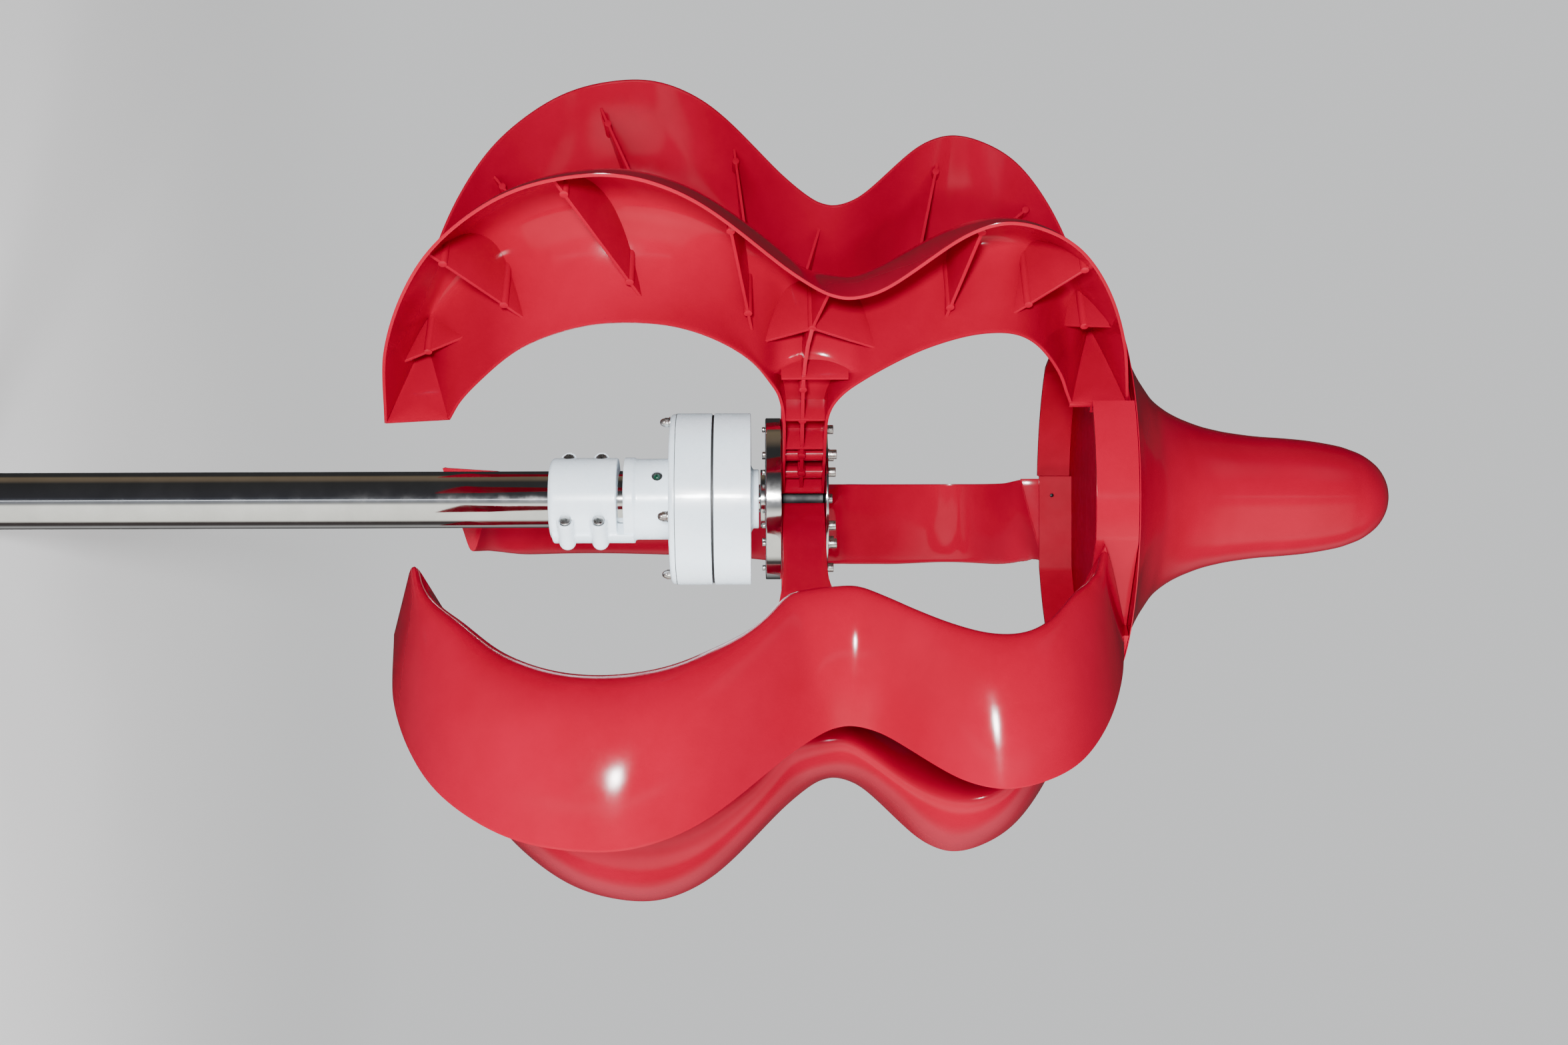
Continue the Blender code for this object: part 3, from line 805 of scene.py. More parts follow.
# %% Neck
NECK_LIFT = 0.0022
NECK_LOW, NECK_TOP = span("generator_neck")[1] + NECK_LIFT, span("generator_neck")[2]
COLLAR_TOP = NECK_LOW + 0.0093
COLLAR_BODY_R = 0.0376
COLLAR_CHAMFER = 0.0008
NECK_R = 0.0363
PLUG_AZIMUTH = 236.0
PLUG_Z = 0.6380
PLUG_HOLE_R = 0.0050
PLUG_HOLE_AT = 0.041
PLUG_HOLE_LENGTH = 0.02

body = turned([
    (0, NECK_LOW), (COLLAR_BODY_R, NECK_LOW), (COLLAR_BODY_R, COLLAR_TOP),
    (NECK_R, COLLAR_TOP + COLLAR_CHAMFER), (NECK_R, NECK_TOP), (0, NECK_TOP),
], steps=96, closed=False)
plug_axis = turn_z(PLUG_AZIMUTH) @ lift(PLUG_Z) @ Matrix.Rotation(math.pi / 2, 4, "Y")
hole = rod(PLUG_HOLE_R, PLUG_HOLE_LENGTH, plug_axis @ lift(PLUG_HOLE_AT))
bore = rod(MAST_R + BORE_CLEARANCE, 2 * (MAST_TOP - NECK_LOW), lift(NECK_LOW), segments=96)
bm = carved(soft_skin(carved(body, [bore]), rounds=3), [hole])
print("neck:", len(bm.faces), "faces")
put("generator_neck_cast", bm, [WHITE], "mast", ["generator_neck"], smooth=60)

# %% [markdown]
# The plug is a small green lens in its dark hole. A dark disc of painted shadow closes the hole's floor, and
# the lens is a ball squashed along the hole's axis, because only its round front shows.

# %% Plug
PLUG_SHADOW_THICK = 0.0030
PLUG_SHADOW_AT = 0.0332
LENS_AT = 0.0343
LENS_HALF_SIZES = (0.0030, 0.0030, 0.0024)

bm = rod(PLUG_HOLE_R - 0.0001, PLUG_SHADOW_THICK, plug_axis @ lift(PLUG_SHADOW_AT), 48)
put("plug_hole_shadow", bm, [SHADOW], "mast")
bm = bmesh.new()
bmesh.ops.create_uvsphere(
    bm, u_segments=32, v_segments=20, radius=1.0,
    matrix=plug_axis @ lift(LENS_AT) @ Matrix.Diagonal((*LENS_HALF_SIZES, 1)),
)
print("plug:", len(bm.faces), "faces")
put("status_plug_lens", bm, [GREEN], "mast", ["status_plug"])

# %% [markdown]
# The generator is a drum in two halves. The cover under it is softly rounded below, so only the edges of
# its low rim get a wide bevel in six steps. The lower half stands on the cover, and its own narrow bevels
# give the pale lines that run round the drum.

# %% Cover and lower half
COVER_R, COVER_LOW, COVER_TOP = span("generator_cover")
GEN_R, LOWER_LOW, LOWER_TOP = span("generator_lower")
DRUM_EDGE = 0.0009

bm = turned_disc(COVER_R, COVER_LOW, COVER_TOP)
low_rim = [e for e in sharp_edges(bm) if all(v.co.z < COVER_LOW + TINY for v in e.verts)]
bevel(bm, 0.0038, 6, low_rim)
even_normals(put("generator_cover_fine", bm, [WHITE], "mast", ["generator_cover"]))

bm = turned_disc(GEN_R, LOWER_LOW, LOWER_TOP, 192)
bevel(bm, DRUM_EDGE, 3)
print(f"the drum is {2 * GEN_R / MM:.0f} mm across, its low rim had {len(low_rim)} edges")
even_normals(put("generator_lower_fine", bm, [WHITE], "mast", ["generator_lower"]))

# %% [markdown]
# A black seal lies between the two halves. The shade in the joint between the cover and the lower half is
# painted: a narrow ring in the seal's black stands just inside the drum's skin and shows as a thin dark line.

# %% Seal and joint
SEAM_R, SEAM_LOW, SEAM_TOP = span("generator_seam")
JOINT_R = GEN_R - 0.0003
JOINT_DEPTH = 0.003
JOINT_HEIGHT = 0.0007

bm = turned_disc(SEAM_R, SEAM_LOW, SEAM_TOP, 192)
put("generator_seam_fine", bm, [SEAL], "mast", ["generator_seam"])

joint_top = COVER_TOP + JOINT_HEIGHT
bm = turned([
    (JOINT_R - JOINT_DEPTH, COVER_TOP), (JOINT_R, COVER_TOP), (JOINT_R, joint_top),
    (JOINT_R - JOINT_DEPTH, joint_top),
], steps=192)
print("joint:", len(bm.faces), "faces")
put("cover_joint_painted_shade", bm, [SEAL], "mast")

# %% [markdown]
# The upper half carries a low boss, and the rotor's shaft goes into a blind bore in it. One outline holds
# all of that: along the bottom, up the drum's side, over the boss and down into the bore.

# %% Upper half
UPPER_LOW, UPPER_TOP = span("generator_upper")[1:]
BOSS_R = 0.0265
BOSS_SPREAD = 0.004
BOSS_FILLET = 0.002
SHAFT_BORE_R = 0.0128
DRUM_TOP = UPPER_TOP - 0.007
BORE_FLOOR = UPPER_LOW + 0.012

bm = turned([
    (0, UPPER_LOW), (GEN_R, UPPER_LOW), (GEN_R, DRUM_TOP), (BOSS_R + BOSS_SPREAD, DRUM_TOP),
    (BOSS_R, DRUM_TOP + BOSS_FILLET), (BOSS_R, UPPER_TOP), (SHAFT_BORE_R, UPPER_TOP),
    (SHAFT_BORE_R, BORE_FLOOR), (0, BORE_FLOOR),
], steps=192, closed=False)
bevel(bm, DRUM_EDGE, 3)
print("upper half:", len(bm.faces), "faces")
even_normals(put("generator_upper_fine", bm, [WHITE], "mast", ["generator_upper"]))

# %% [markdown]
# Four dome nuts on washers hold the cover from below. A dome nut is a hexagon with half a ball on it. Both
# are closed shapes of their own and stand into each other, which is enough where the joint doesn't show.

# %% Dome nuts
NUT_AZIMUTHS = (283, 13, 103, 193)
NUT_CIRCLE = 0.070
NUT_FLATS, NUT_HEIGHT = 0.0080, 0.0085
WASHER_R, WASHER_THICK = 0.0050, 0.0010


def ring_washer(radius, thick, segments=32):
    """A low disc standing on the XY plane, its rims broken by a small bevel."""
    bm = rod(radius, thick, lift(thick / 2), segments)
    bevel(bm, thick * 0.2, 2, sharp_edges(bm, degrees=60))
    return bm


def dome_nut(flats, height):
    """An acorn nut standing on the XY plane: a hexagon below and a dome on it."""
    hex_height = height / 2
    bm = rod(flats / math.sqrt(3), hex_height, lift(hex_height / 2), 6)
    bevel(bm, flats * 0.05)
    dome_r = flats * 0.46
    squash = Matrix.Diagonal((dome_r, dome_r, height - hex_height, 1))
    bmesh.ops.create_uvsphere(bm, u_segments=24, v_segments=16, radius=1.0, matrix=lift(hex_height) @ squash)
    return bm


bm = bmesh.new()
for azimuth in NUT_AZIMUTHS:
    at = turn_z(azimuth) @ Matrix.Translation((NUT_CIRCLE, 0, COVER_LOW)) @ UPSIDE_DOWN
    add_to(bm, ring_washer(WASHER_R, WASHER_THICK), at)
    add_to(bm, dome_nut(NUT_FLATS, NUT_HEIGHT), at @ lift(WASHER_THICK))
print("dome nuts:", len(NUT_AZIMUTHS))
put("cover_dome_nuts", bm, [BRIGHT], "mast", smooth=35)

# %% [markdown]
# The hub holds the five arms between a thick polished flange and a thin polished disc, round a core whose
# near-black is painted shade. A collar below joins it to the shaft. All four are turned, each with the edge
# that it
# has on the real hub: plain and broad on the flange, hardly broken on the thin disc.

# %% Hub
COLLAR_R, SHAFT_LOW, HUB_COLLAR_TOP = span("hub_collar")
HUB_COLLAR_LOW = 0.7295
SHAFT_R = 0.012
FLANGE_R, FLANGE_LOW, FLANGE_TOP = span("lower_flange")
FLANGE_RIM = FLANGE_R + 0.002
CORE_R, CORE_LOW, CORE_TOP = span("hub_core")
DISC_R, DISC_LOW, DISC_TOP = span("upper_disc")

bm = turned([
    (0, SHAFT_LOW), (SHAFT_R, SHAFT_LOW), (SHAFT_R, HUB_COLLAR_LOW), (COLLAR_R, HUB_COLLAR_LOW),
    (COLLAR_R, HUB_COLLAR_TOP), (0, HUB_COLLAR_TOP),
], closed=False)
bevel(bm, width=0.0005)
even_normals(put("hub_collar_fine", bm, [POLISHED], "rotor", ["hub_collar"]))

bm = turned_disc(FLANGE_RIM, FLANGE_LOW, FLANGE_TOP, 192)
bevel(bm, width=0.0010, segments=3)
even_normals(put("lower_flange_fine", bm, [POLISHED], "rotor", ["lower_flange"]))

# The core's near-black steel is painted shade, as it lies deep between the arms.
bm = turned_disc(CORE_R, CORE_LOW, CORE_TOP, 96)
bevel(bm, width=0.0010, segments=3)
even_normals(put("hub_core_fine", bm, [SHADE_DARK_STEEL], "rotor", ["hub_core"]))

bm = turned_disc(DISC_R, DISC_LOW, DISC_TOP, 192)
bevel(bm, width=0.0004)
even_normals(put("upper_disc_fine", bm, [POLISHED], "rotor", ["upper_disc"]))
print(f"flange {2 * FLANGE_RIM / MM:.0f} mm and disc {2 * DISC_R / MM:.0f} mm across")

# %% [markdown]
# Ten cap screws, two to an arm, go right through the hub. Their heads stand on the disc, each on a plain
# washer and a spring washer, and their ends show below the flange. Only what shows is made: a screw's
# shank would be hidden in the arm's tube.

# %% Hub screws
BLADE_AZIMUTHS = {"a": 234.9, "b": 162.9, "c": 306.9, "d": 18.9, "e": 90.9}
BOLT_RADII = (0.040, 0.066)
SPRING_R, SPRING_THICK = 0.0043, 0.0012
CAP_R, CAP_HEIGHT, CAP_SOCKET_R = 0.00425, 0.0052, 0.0023
SCREW_R, SCREW_PROUD = 0.0025, 0.0030

bm = bmesh.new()
ends = bmesh.new()
for azimuth in BLADE_AZIMUTHS.values():
    for radius in BOLT_RADII:
        top = turn_z(azimuth) @ Matrix.Translation((radius, 0, DISC_TOP))
        add_to(bm, ring_washer(WASHER_R, WASHER_THICK), top)
        add_to(bm, ring_washer(SPRING_R, SPRING_THICK), top @ lift(WASHER_THICK))
        add_to(bm, socket_head(CAP_R, CAP_HEIGHT, CAP_SOCKET_R), top @ lift(WASHER_THICK + SPRING_THICK))
        low = turn_z(azimuth) @ Matrix.Translation((radius, 0, FLANGE_LOW)) @ UPSIDE_DOWN
        add_to(ends, ring_washer(SCREW_R, SCREW_PROUD, 24), low)
put("hub_screws", bm, [BRIGHT], "rotor", smooth=35)
put("hub_screw_ends", ends, [BRIGHT], "rotor", smooth=35)
print("hub screws:", len(BLADE_AZIMUTHS) * len(BOLT_RADII))

# %% [markdown]
# A scoop is one moulded shell. It is described by stations along its length, and a smooth curve runs through
# them. A blade is made in its own frame: r points away from the axis, z is up, and t points to the open side.
# Each row below is one station in millimetres: r, z and t of the outer rim, the same three of the inner
# edge, and the depth of the trough between them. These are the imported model's own driving sizes.

# %% Stations of a scoop
STATIONS = (
    (152, 420, 17.5, 152, 472, 14.0, 85),
    (241, 433, 14.5, 174, 484, 11.5, 84),
    (309, 459, 11.0, 196, 502, 8.5, 81),
    (358, 491, 7.5, 230, 534, 6.0, 78),
    (400, 541, 3.5, 249, 571, 3.0, 75),
    (416, 592, 1.0, 257, 605, 1.0, 74),
    (415, 636, 0.0, 256, 640, 0.0, 74),
    (392, 680, 0.0, 250, 668, 0.0, 75),
    (354, 717, 0.0, 234, 697, 0.0, 76),
    (318, 748, 0.0, 209, 723, 0.0, 78),
    (293, 775, 0.0, 177, 740, 0.0, 80),
    (285, 790, 0.0, 177, 773, 0.0, 81),
    (284, 804, 0.0, 177, 806, 0.0, 81),
    (293, 825, 0.0, 197, 827, 0.0, 82),
    (317, 850, -1.0, 213, 846, 0.0, 82),
    (344, 877, -3.0, 226, 865, 0.0, 82),
    (357, 899, -5.0, 238, 890, 0.0, 81),
    (360, 919, -6.0, 243, 912, 0.0, 80),
    (352, 944, -6.0, 241, 934, 0.0, 80),
    (331, 973, -5.0, 225, 954, 0.0, 81),
    (287, 1000, -3.0, 193, 973, 0.5, 82),
    (230, 1020, 0.5, 174, 980, 2.5, 84),
    (158.3, 1033, 4.0, 158.3, 986, 4.0, 84),
)
LAST = len(STATIONS) - 1
RIM = [tuple(value * MM for value in row[0:3]) for row in STATIONS]
INNER = [tuple(value * MM for value in row[3:6]) for row in STATIONS]
DEPTHS = [(row[6] * MM,) for row in STATIONS]
print(len(STATIONS), "stations")

# %% [markdown]
# A curve through the stations, a soft step between two values, and the inner edge. The curve is a
# Catmull-Rom spline, which goes through every station and needs no handles. At the root, where the arm
# leaves the scoop, the inner edge is a straight line instead.

# %% Curves through the stations
ROOT_FIRST = 10
ROOT_LAST = 12


def spline(points, k):
    """The point at place k on a smooth curve, where whole numbers are the given points."""
    i = min(int(k), len(points) - 2)
    f = k - i
    last = len(points) - 1
    p0, p1, p2, p3 = (points[max(0, min(last, i + step))] for step in (-1, 0, 1, 2))
    if i == 0:
        p0 = tuple(2 * a - b for a, b in zip(p1, p2))
    if i == last - 1:
        p3 = tuple(2 * b - a for a, b in zip(p1, p2))
    return tuple(
        0.5 * (2 * b + (c - a) * f + (2 * a - 5 * b + 4 * c - d) * f * f + (3 * b - a - 3 * c + d) * f**3)
        for a, b, c, d in zip(p0, p1, p2, p3)
    )


def ramp(x, low, high):
    """A soft step from 0 at low to 1 at high."""
    x = max(0.0, min(1.0, (x - low) / (high - low)))
    return x * x * (3 - 2 * x)


def inner_point(k):
    if k <= ROOT_FIRST:
        return spline(INNER[: ROOT_FIRST + 1], k)
    if k >= ROOT_LAST:
        return spline(INNER[ROOT_LAST:], k - ROOT_LAST)
    f = (k - ROOT_FIRST) / (ROOT_LAST - ROOT_FIRST)
    return tuple(x + (y - x) * f for x, y in zip(INNER[ROOT_FIRST], INNER[ROOT_LAST]))


print("inner edge at the root:", [round(x, 4) for x in inner_point((ROOT_FIRST + ROOT_LAST) / 2)])

# %% [markdown]
# The trough's profile says how deep the sheet lies at a share v of the way from the rim to the inner edge.
# It is deeper towards the outside in the lower lobe, falls to the arm's floor at the waist, and becomes a
# plain V at both ends. The pairs below are stations between which one form passes softly into the next.
# The threes are what the lower lobe has, what the upper lobe adds and what the waist adds.

# %% Values of the trough's profile
ARM_FLOOR = 0.027
WAIST_IN, WAIST_OUT = (7.5, 10.0), (12.0, 14.5)
UPPER_IN = (8.0, 15.5)
BULGE_IN, BULGE_OUT = (3.0, 8.0), (9.5, 15.0)
PEAK = (0.60, 0.17, 0.05)
RIM_CURVE = (1.8, -0.35, 0.15)
BULGE_CURVE = 0.4
FLOOR_RISE = (-0.08, 0.92)
ROOT_MIDDLE = 11
ROOT_ARCH = 1.12
ARCH_IN = (0.55, 1.0)
TIP_REACH = 2.4
TIP_PEAKS = (0.51, 0.51)
UPPER_TIP_ROUND = (0.28, 0.10)

print("the trough is deepest at share", PEAK[0], "in the lower lobe and", PEAK[0] + PEAK[1], "in the upper")

# %% [markdown]
# The profile has two sides, from the rim to the deepest line and from there to the inner edge. Each side is
# a power curve in the lobes. At the waist the inner side follows the arm's floor, and near both ends
# every side straightens.


# %% The trough's profile
def waist_share(k):
    return ramp(k, *WAIST_IN) * (1 - ramp(k, *WAIST_OUT))


def root_arch(k):
    """How much of the arm's depth the half-round root has: all of it in the middle, little at the walls."""
    return math.sqrt(max(0.0, 1 - ((k - ROOT_MIDDLE) / ROOT_ARCH) ** 2))


def depth_share(k, v):
    """The sheet's depth as a share of the station's depth."""
    waist = waist_share(k)
    upper = ramp(k, *UPPER_IN)
    bulge = ramp(k, *BULGE_IN) * (1 - ramp(k, *BULGE_OUT))
    tip = max(1 - ramp(k, 0.0, TIP_REACH), ramp(k, LAST - TIP_REACH, LAST))
    peak = PEAK[0] + PEAK[1] * upper + PEAK[2] * waist
    peak += (TIP_PEAKS[k > LAST / 2] - peak) * tip
    if v <= peak:
        share = 1 - (1 - v / peak) ** (RIM_CURVE[0] + RIM_CURVE[1] * upper + RIM_CURVE[2] * waist)
        straight = v / peak
    else:
        y = (v - peak) / (1 - peak)
        floor_share = ARM_FLOOR / spline(DEPTHS, k)[0]
        arm = floor_share + (1 - floor_share) * (1 - ramp(y, *FLOOR_RISE))
        arm *= 1 - (1 - root_arch(k)) * ramp(y, *ARCH_IN)
        share = (1 - y * y) ** (1.0 - BULGE_CURVE * bulge)
        share += (arm - share) * waist
        straight = 1 - y
    if k > LAST / 2:
        tip *= 1 - UPPER_TIP_ROUND[v > peak] * tip
    return share + (straight - share) * tip


print("depth shares in the lower lobe:", [round(depth_share(5, v), 2) for v in (0.2, 0.6, 0.9)])

# %% [markdown]
# With the profile, a point of the sheet is the point between rim and inner edge, set back by the depth there.
# At both ends it also leans away from the axis a little, since the moulding's end panels aren't quite square.

# %% A point on the scoop
RIM_T = 0.0135
TIP_LEANS = (0.14, 0.02)


def scoop_point(k, v):
    """The sheet's point at station k and share v, in the blade's own frame."""
    rim = spline(RIM, k)
    inner = inner_point(k)
    depth = 0.0 if v in (0, 1) else spline(DEPTHS, k)[0] * depth_share(k, v)
    lean = TIP_LEANS[k > LAST / 2] * depth * max(1 - ramp(k, 0.0, 1.0), ramp(k, LAST - 1.0, LAST))
    r, z, sweep = (a + (b - a) * v for a, b in zip(rim, inner))
    return Vector((r + lean, RIM_T + sweep - depth, z))


print("deepest point at the lower lobe:", [round(x, 3) for x in scoop_point(5, PEAK[0])])

# %% [markdown]
# The arm and the end panels grow by extrusion: a chain of corners is extruded, and the new corners are moved
# on. The operator gives the new corners in any order, so a helper sorts them like the old ones by their
# place.


# %% Helpers for chains of corners
def new_verts(made):
    return [v for v in made["geom"] if isinstance(v, bmesh.types.BMVert)]


def edges_along(bm, chain, closed=False):
    followers = chain[1:] + chain[:1] if closed else chain[1:]
    return [bm.edges.get(pair) for pair in zip(chain, followers)]


def extruded(bm, chain, closed=False):
    """Extrudes a chain of corners and gives the new chain in the same order."""
    order = {v.co.copy().freeze(): n for n, v in enumerate(chain)}
    made = bmesh.ops.extrude_edge_only(bm, edges=edges_along(bm, chain, closed))
    following = [None] * len(chain)
    for v in new_verts(made):
        following[order[v.co.copy().freeze()]] = v
    return following


print("helpers for chains ready")

# %% [markdown]
# The sheet starts as a flat grid, one corner of which is one pair of (station, share), and every corner is
# then moved to its place on the scoop. The rows stand half a station apart, and closer at both ends. The
# crease layer keeps chosen edges sharp when the sheet is subdivided later.

# %% The scoop's grid
ROWS = sorted({k / 2 for k in range(2 * LAST + 1)} | {0.25, 0.75, LAST - 0.75, LAST - 0.25})
SHARES = (0, 0.03, 0.08, 0.15, 0.23, 0.32, 0.41, 0.51, 0.62, 0.71, 0.79, 0.86, 0.92, 0.96, 0.985, 1)
LAST_ROW = len(ROWS) - 1
WALL_EDGE = len(SHARES) - 1
FLOOR_EDGE = WALL_EDGE - 1
FLOOR_CREASE = 0.9


def scoop_grid(bm, crease):
    """The scoop without its arm. Gives each corner by its row and its place in the row."""
    made = bmesh.ops.create_grid(bm, x_segments=LAST_ROW, y_segments=WALL_EDGE, size=0.5)
    grid = {}
    for v in made["verts"]:
        i = round((v.co.x + 0.5) * LAST_ROW)
        j = round((v.co.y + 0.5) * WALL_EDGE)
        grid[i, j] = v
        v.co = scoop_point(ROWS[i], SHARES[j])
    for i in range(LAST_ROW):
        edge = bm.edges.get((grid[i, FLOOR_EDGE], grid[i + 1, FLOOR_EDGE]))
        edge[crease] = FLOOR_CREASE * waist_share((ROWS[i] + ROWS[i + 1]) / 2)
    return grid


print(len(ROWS), "rows of", len(SHARES), "points")

# %% [markdown]
# The arm grows out of the scoop's waist towards the hub, in a few steps given by their radii. At each step
# the two tables, (r, z) in millimetres, give the heights of the arm's lower and upper wall. A straight line
# between two rows is enough, since the subdivision rounds the walls later.

# %% The arm's walls
ARM_STEPS = (170, 162, 152, 143, 134, 124, 114, 100, 80, 60, 40, 28)
ARM_LOWER = (
    (177, 740), (170, 743.2), (162, 745.6), (152, 747.3), (143, 748.4), (134, 749.1), (124, 749.6),
    (114, 749.8),
)
ARM_UPPER = (
    (177, 806), (170, 800), (162, 794.6), (152, 789.6), (143, 787), (134, 785.4), (124, 784.7),
    (114, 784.5),
)


def arm_edge(table, r):
    """Height of one of the arm's walls at radius r, in metres."""
    if r <= table[-1][0]:
        return table[-1][1] * MM
    for (r0, z0), (r1, z1) in zip(table, table[1:]):
        if r1 <= r <= r0:
            return (z0 + (z1 - z0) * (r0 - r) / (r0 - r1)) * MM
    return table[0][1] * MM


print("arm:", len(ARM_STEPS), "steps")

# %% [markdown]
# The edge of the opening in the scoop's waist is a U: up one side wall, along the floor and up the other.
# It is the chain that is extruded towards the hub. On the way its floor changes from half-round at the scoop
# to flat, as the real moulding's does.

# %% The arm
ROOT_R = STATIONS[ROOT_FIRST][3]
FLAT_FLOOR_R = 152


def open_mouth(bm, grid):
    """Takes the root's faces away and gives the U of corners round the opening."""
    first, last = ROWS.index(ROOT_FIRST), ROWS.index(ROOT_LAST)
    opening = {grid[i, j] for i in range(first, last + 1) for j in (FLOOR_EDGE, WALL_EDGE)}
    gone = [f for f in bm.faces if all(v in opening for v in f.verts)]
    bmesh.ops.delete(bm, geom=gone, context="FACES")
    floor_row = [grid[i, FLOOR_EDGE] for i in range(first, last + 1)]
    return [grid[first, WALL_EDGE], *floor_row, grid[last, WALL_EDGE]]


def grow_arm(bm, chain, crease):
    """Extrudes the arm from the U of corners to its closed end at the hub."""
    low, high = chain[1].co.z, chain[-2].co.z
    shares = [0.0] + [(v.co.z - low) / (high - low) for v in chain[1:-1]] + [1.0]
    depths = [RIM_T - v.co.y for v in chain]
    for r in ARM_STEPS:
        rounded = max(0.0, (r - FLAT_FLOOR_R) / (ROOT_R - FLAT_FLOOR_R)) ** 2
        nxt = extruded(bm, chain)
        bottom, top = arm_edge(ARM_LOWER, r), arm_edge(ARM_UPPER, r)
        for n, v in enumerate(nxt):
            t = RIM_T
            if 0 < n < len(nxt) - 1:
                t -= ARM_FLOOR + (depths[n] - ARM_FLOOR) * rounded
            v.co = (r * MM, t, bottom + (top - bottom) * shares[n])
        for n in (1, len(nxt) - 2):
            bm.edges.get((chain[n], nxt[n]))[crease] = 1.0
        chain = nxt
    for edge in edges_along(bm, chain):
        edge[crease] = 1.0
    bm.faces.new(chain)


print("helpers for the arm ready")

# %% [markdown]
# Grid, arm and end panels make one rough sheet. A V of corners becomes a flat end panel, when its copy is
# drawn onto the straight line between its ends. Subdivision then makes the sheet smooth without more points
# to write down. The smooth sheet is kept, with a search tree that can find its surface under any point.


# %% The sheet of a blade
def close_tip(bm, row, crease):
    """A flat panel between a V-shaped row of corners and the straight line that joins its ends."""
    first, last = row[0], row[-1]
    for edge in edges_along(bm, row):
        edge[crease] = 1.0
    added = extruded(bm, row)
    for v, share in zip(added, SHARES):
        v.co = first.co.lerp(last.co, share)
    bmesh.ops.remove_doubles(bm, verts=[first, last, *added], dist=1e-6)


bm = bmesh.new()
crease = bm.edges.layers.float.new("crease_edge")
grid = scoop_grid(bm, crease)
grow_arm(bm, open_mouth(bm, grid), crease)
for row in (0, LAST_ROW):
    close_tip(bm, [grid[row, j] for j in range(len(SHARES))], crease)
bmesh.ops.recalc_face_normals(bm, faces=bm.faces[:])

sheet = rough_object("blade_sheet", bm)
smooth = sheet.modifiers.new("smooth", "SUBSURF")
smooth.levels = smooth.render_levels = 2
fine_sheet = settled(sheet)
bpy.data.objects.remove(sheet)
tree_of_sheet = BVHTree.FromBMesh(fine_sheet)
print("sheet:", len(fine_sheet.faces), "faces")

# %% [markdown]
# The shell's wall is 2.5 mm thick everywhere, as injection moulding asks for. Extruding every face would need
# care at the corners, so Solidify gives the thickness, and a Bevel modifier softens the rims.

# %% The shell
WALL = 0.0025
RIM_ROUND = 0.0006

shell = rough_object("blade_shell", fine_sheet)
wall = shell.modifiers.new("wall", "SOLIDIFY")
wall.thickness = WALL
wall.offset = 0.0
wall.use_even_offset = True
wall.thickness_clamp = 0.0
soften = shell.modifiers.new("soft_rims", "BEVEL")
soften.width = RIM_ROUND
soften.segments = 2
soften.limit_method = "ANGLE"
soften.angle_limit = math.radians(55)
blade = settled(shell)
bpy.data.objects.remove(shell)
print("shell:", len(blade.faces), "faces")

# %% [markdown]
# Ribs stiffen the scoop, and they have to end on its curved floor. A Boolean against the shell would be slow
# and fragile. So a ray is shot down to the sheet from each point, which tells how deep a rib has to reach
# there, and the rib ends in the middle of the wall.

# %% Rays down to the sheet
RAY_START = 0.06


def floor_below(r, z):
    """The sheet's t under the point (r, z), or None where the sheet isn't there."""
    spot = tree_of_sheet.ray_cast(Vector((r, RAY_START, z)), Vector((0, -1, 0)))[0]
    return None if spot is None else spot.y


def settle_feet(feet):
    """Brings each foot corner of a rib or pad down to the middle of the sheet under it."""
    for v in feet:
        depth = floor_below(v.co.x, v.co.z)
        if depth is not None:
            v.co.y = depth


print("the lower lobe's floor under one point:", round(floor_below(0.33, 0.592), 4))

# %% [markdown]
# Each rib is an upright plate between the scoop's floor and a straight free edge. It starts as a strip of
# grid cells, whose upper corners lie on the free edge and whose lower ones lie on the sheet. The strip is
# extruded to the rib's width, and only the free edge is rounded.

# %% One rib
RIB_WIDTH = 0.0026
RIB_REACH = 0.003
RIB_ROUND = 0.0004
RIB_STEPS = 80


def rib(a, b, width=RIB_WIDTH):
    """An upright plate between the sheet and a straight free edge from a to b, both in millimetres."""
    a, b = Vector(a) * MM, Vector(b) * MM
    beyond = (b - a).normalized() * RIB_REACH
    a, b = a - beyond, b + beyond
    spots = []
    for i in range(RIB_STEPS + 1):
        top = a.lerp(b, i / RIB_STEPS)
        depth = floor_below(top.x, top.z)
        if depth is not None and depth < top.y:
            spots.append((top, depth))
    count = len(spots) - 1
    side = (b - a).cross(Vector((0, 1, 0))).normalized() * width / 2
    bm = bmesh.new()
    made = bmesh.ops.create_grid(bm, x_segments=count, y_segments=1, size=0.5)
    for v in made["verts"]:
        top, depth = spots[round((v.co.x + 0.5) * count)]
        v.co = Vector((top.x, top.y if v.co.y > 0 else depth, top.z)) - side
    grown = bmesh.ops.extrude_face_region(bm, geom=bm.faces[:])
    bmesh.ops.translate(bm, verts=new_verts(grown), vec=2 * side)
    bmesh.ops.recalc_face_normals(bm, faces=bm.faces[:])
    heights = {round(top.y, 6) for top, _ in spots}
    tops = {v for v in bm.verts if round(v.co.y, 6) in heights}
    settle_feet([v for v in bm.verts if v not in tops])
    bevel(bm, RIB_ROUND, 2, [e for e in sharp_edges(bm, degrees=60) if tops.issuperset(e.verts)])
    return bm


print("helper for ribs ready")

# %% [markdown]
# Round ejector pads sit on the free edges, where pins once pushed the blade out of its mould. A pad is a rod
# from the sheet to just above the rib.

# %% One ejector pad
PAD_R = 0.0035
PAD_PROUD = 0.0003
PAD_DEPTH = 0.02


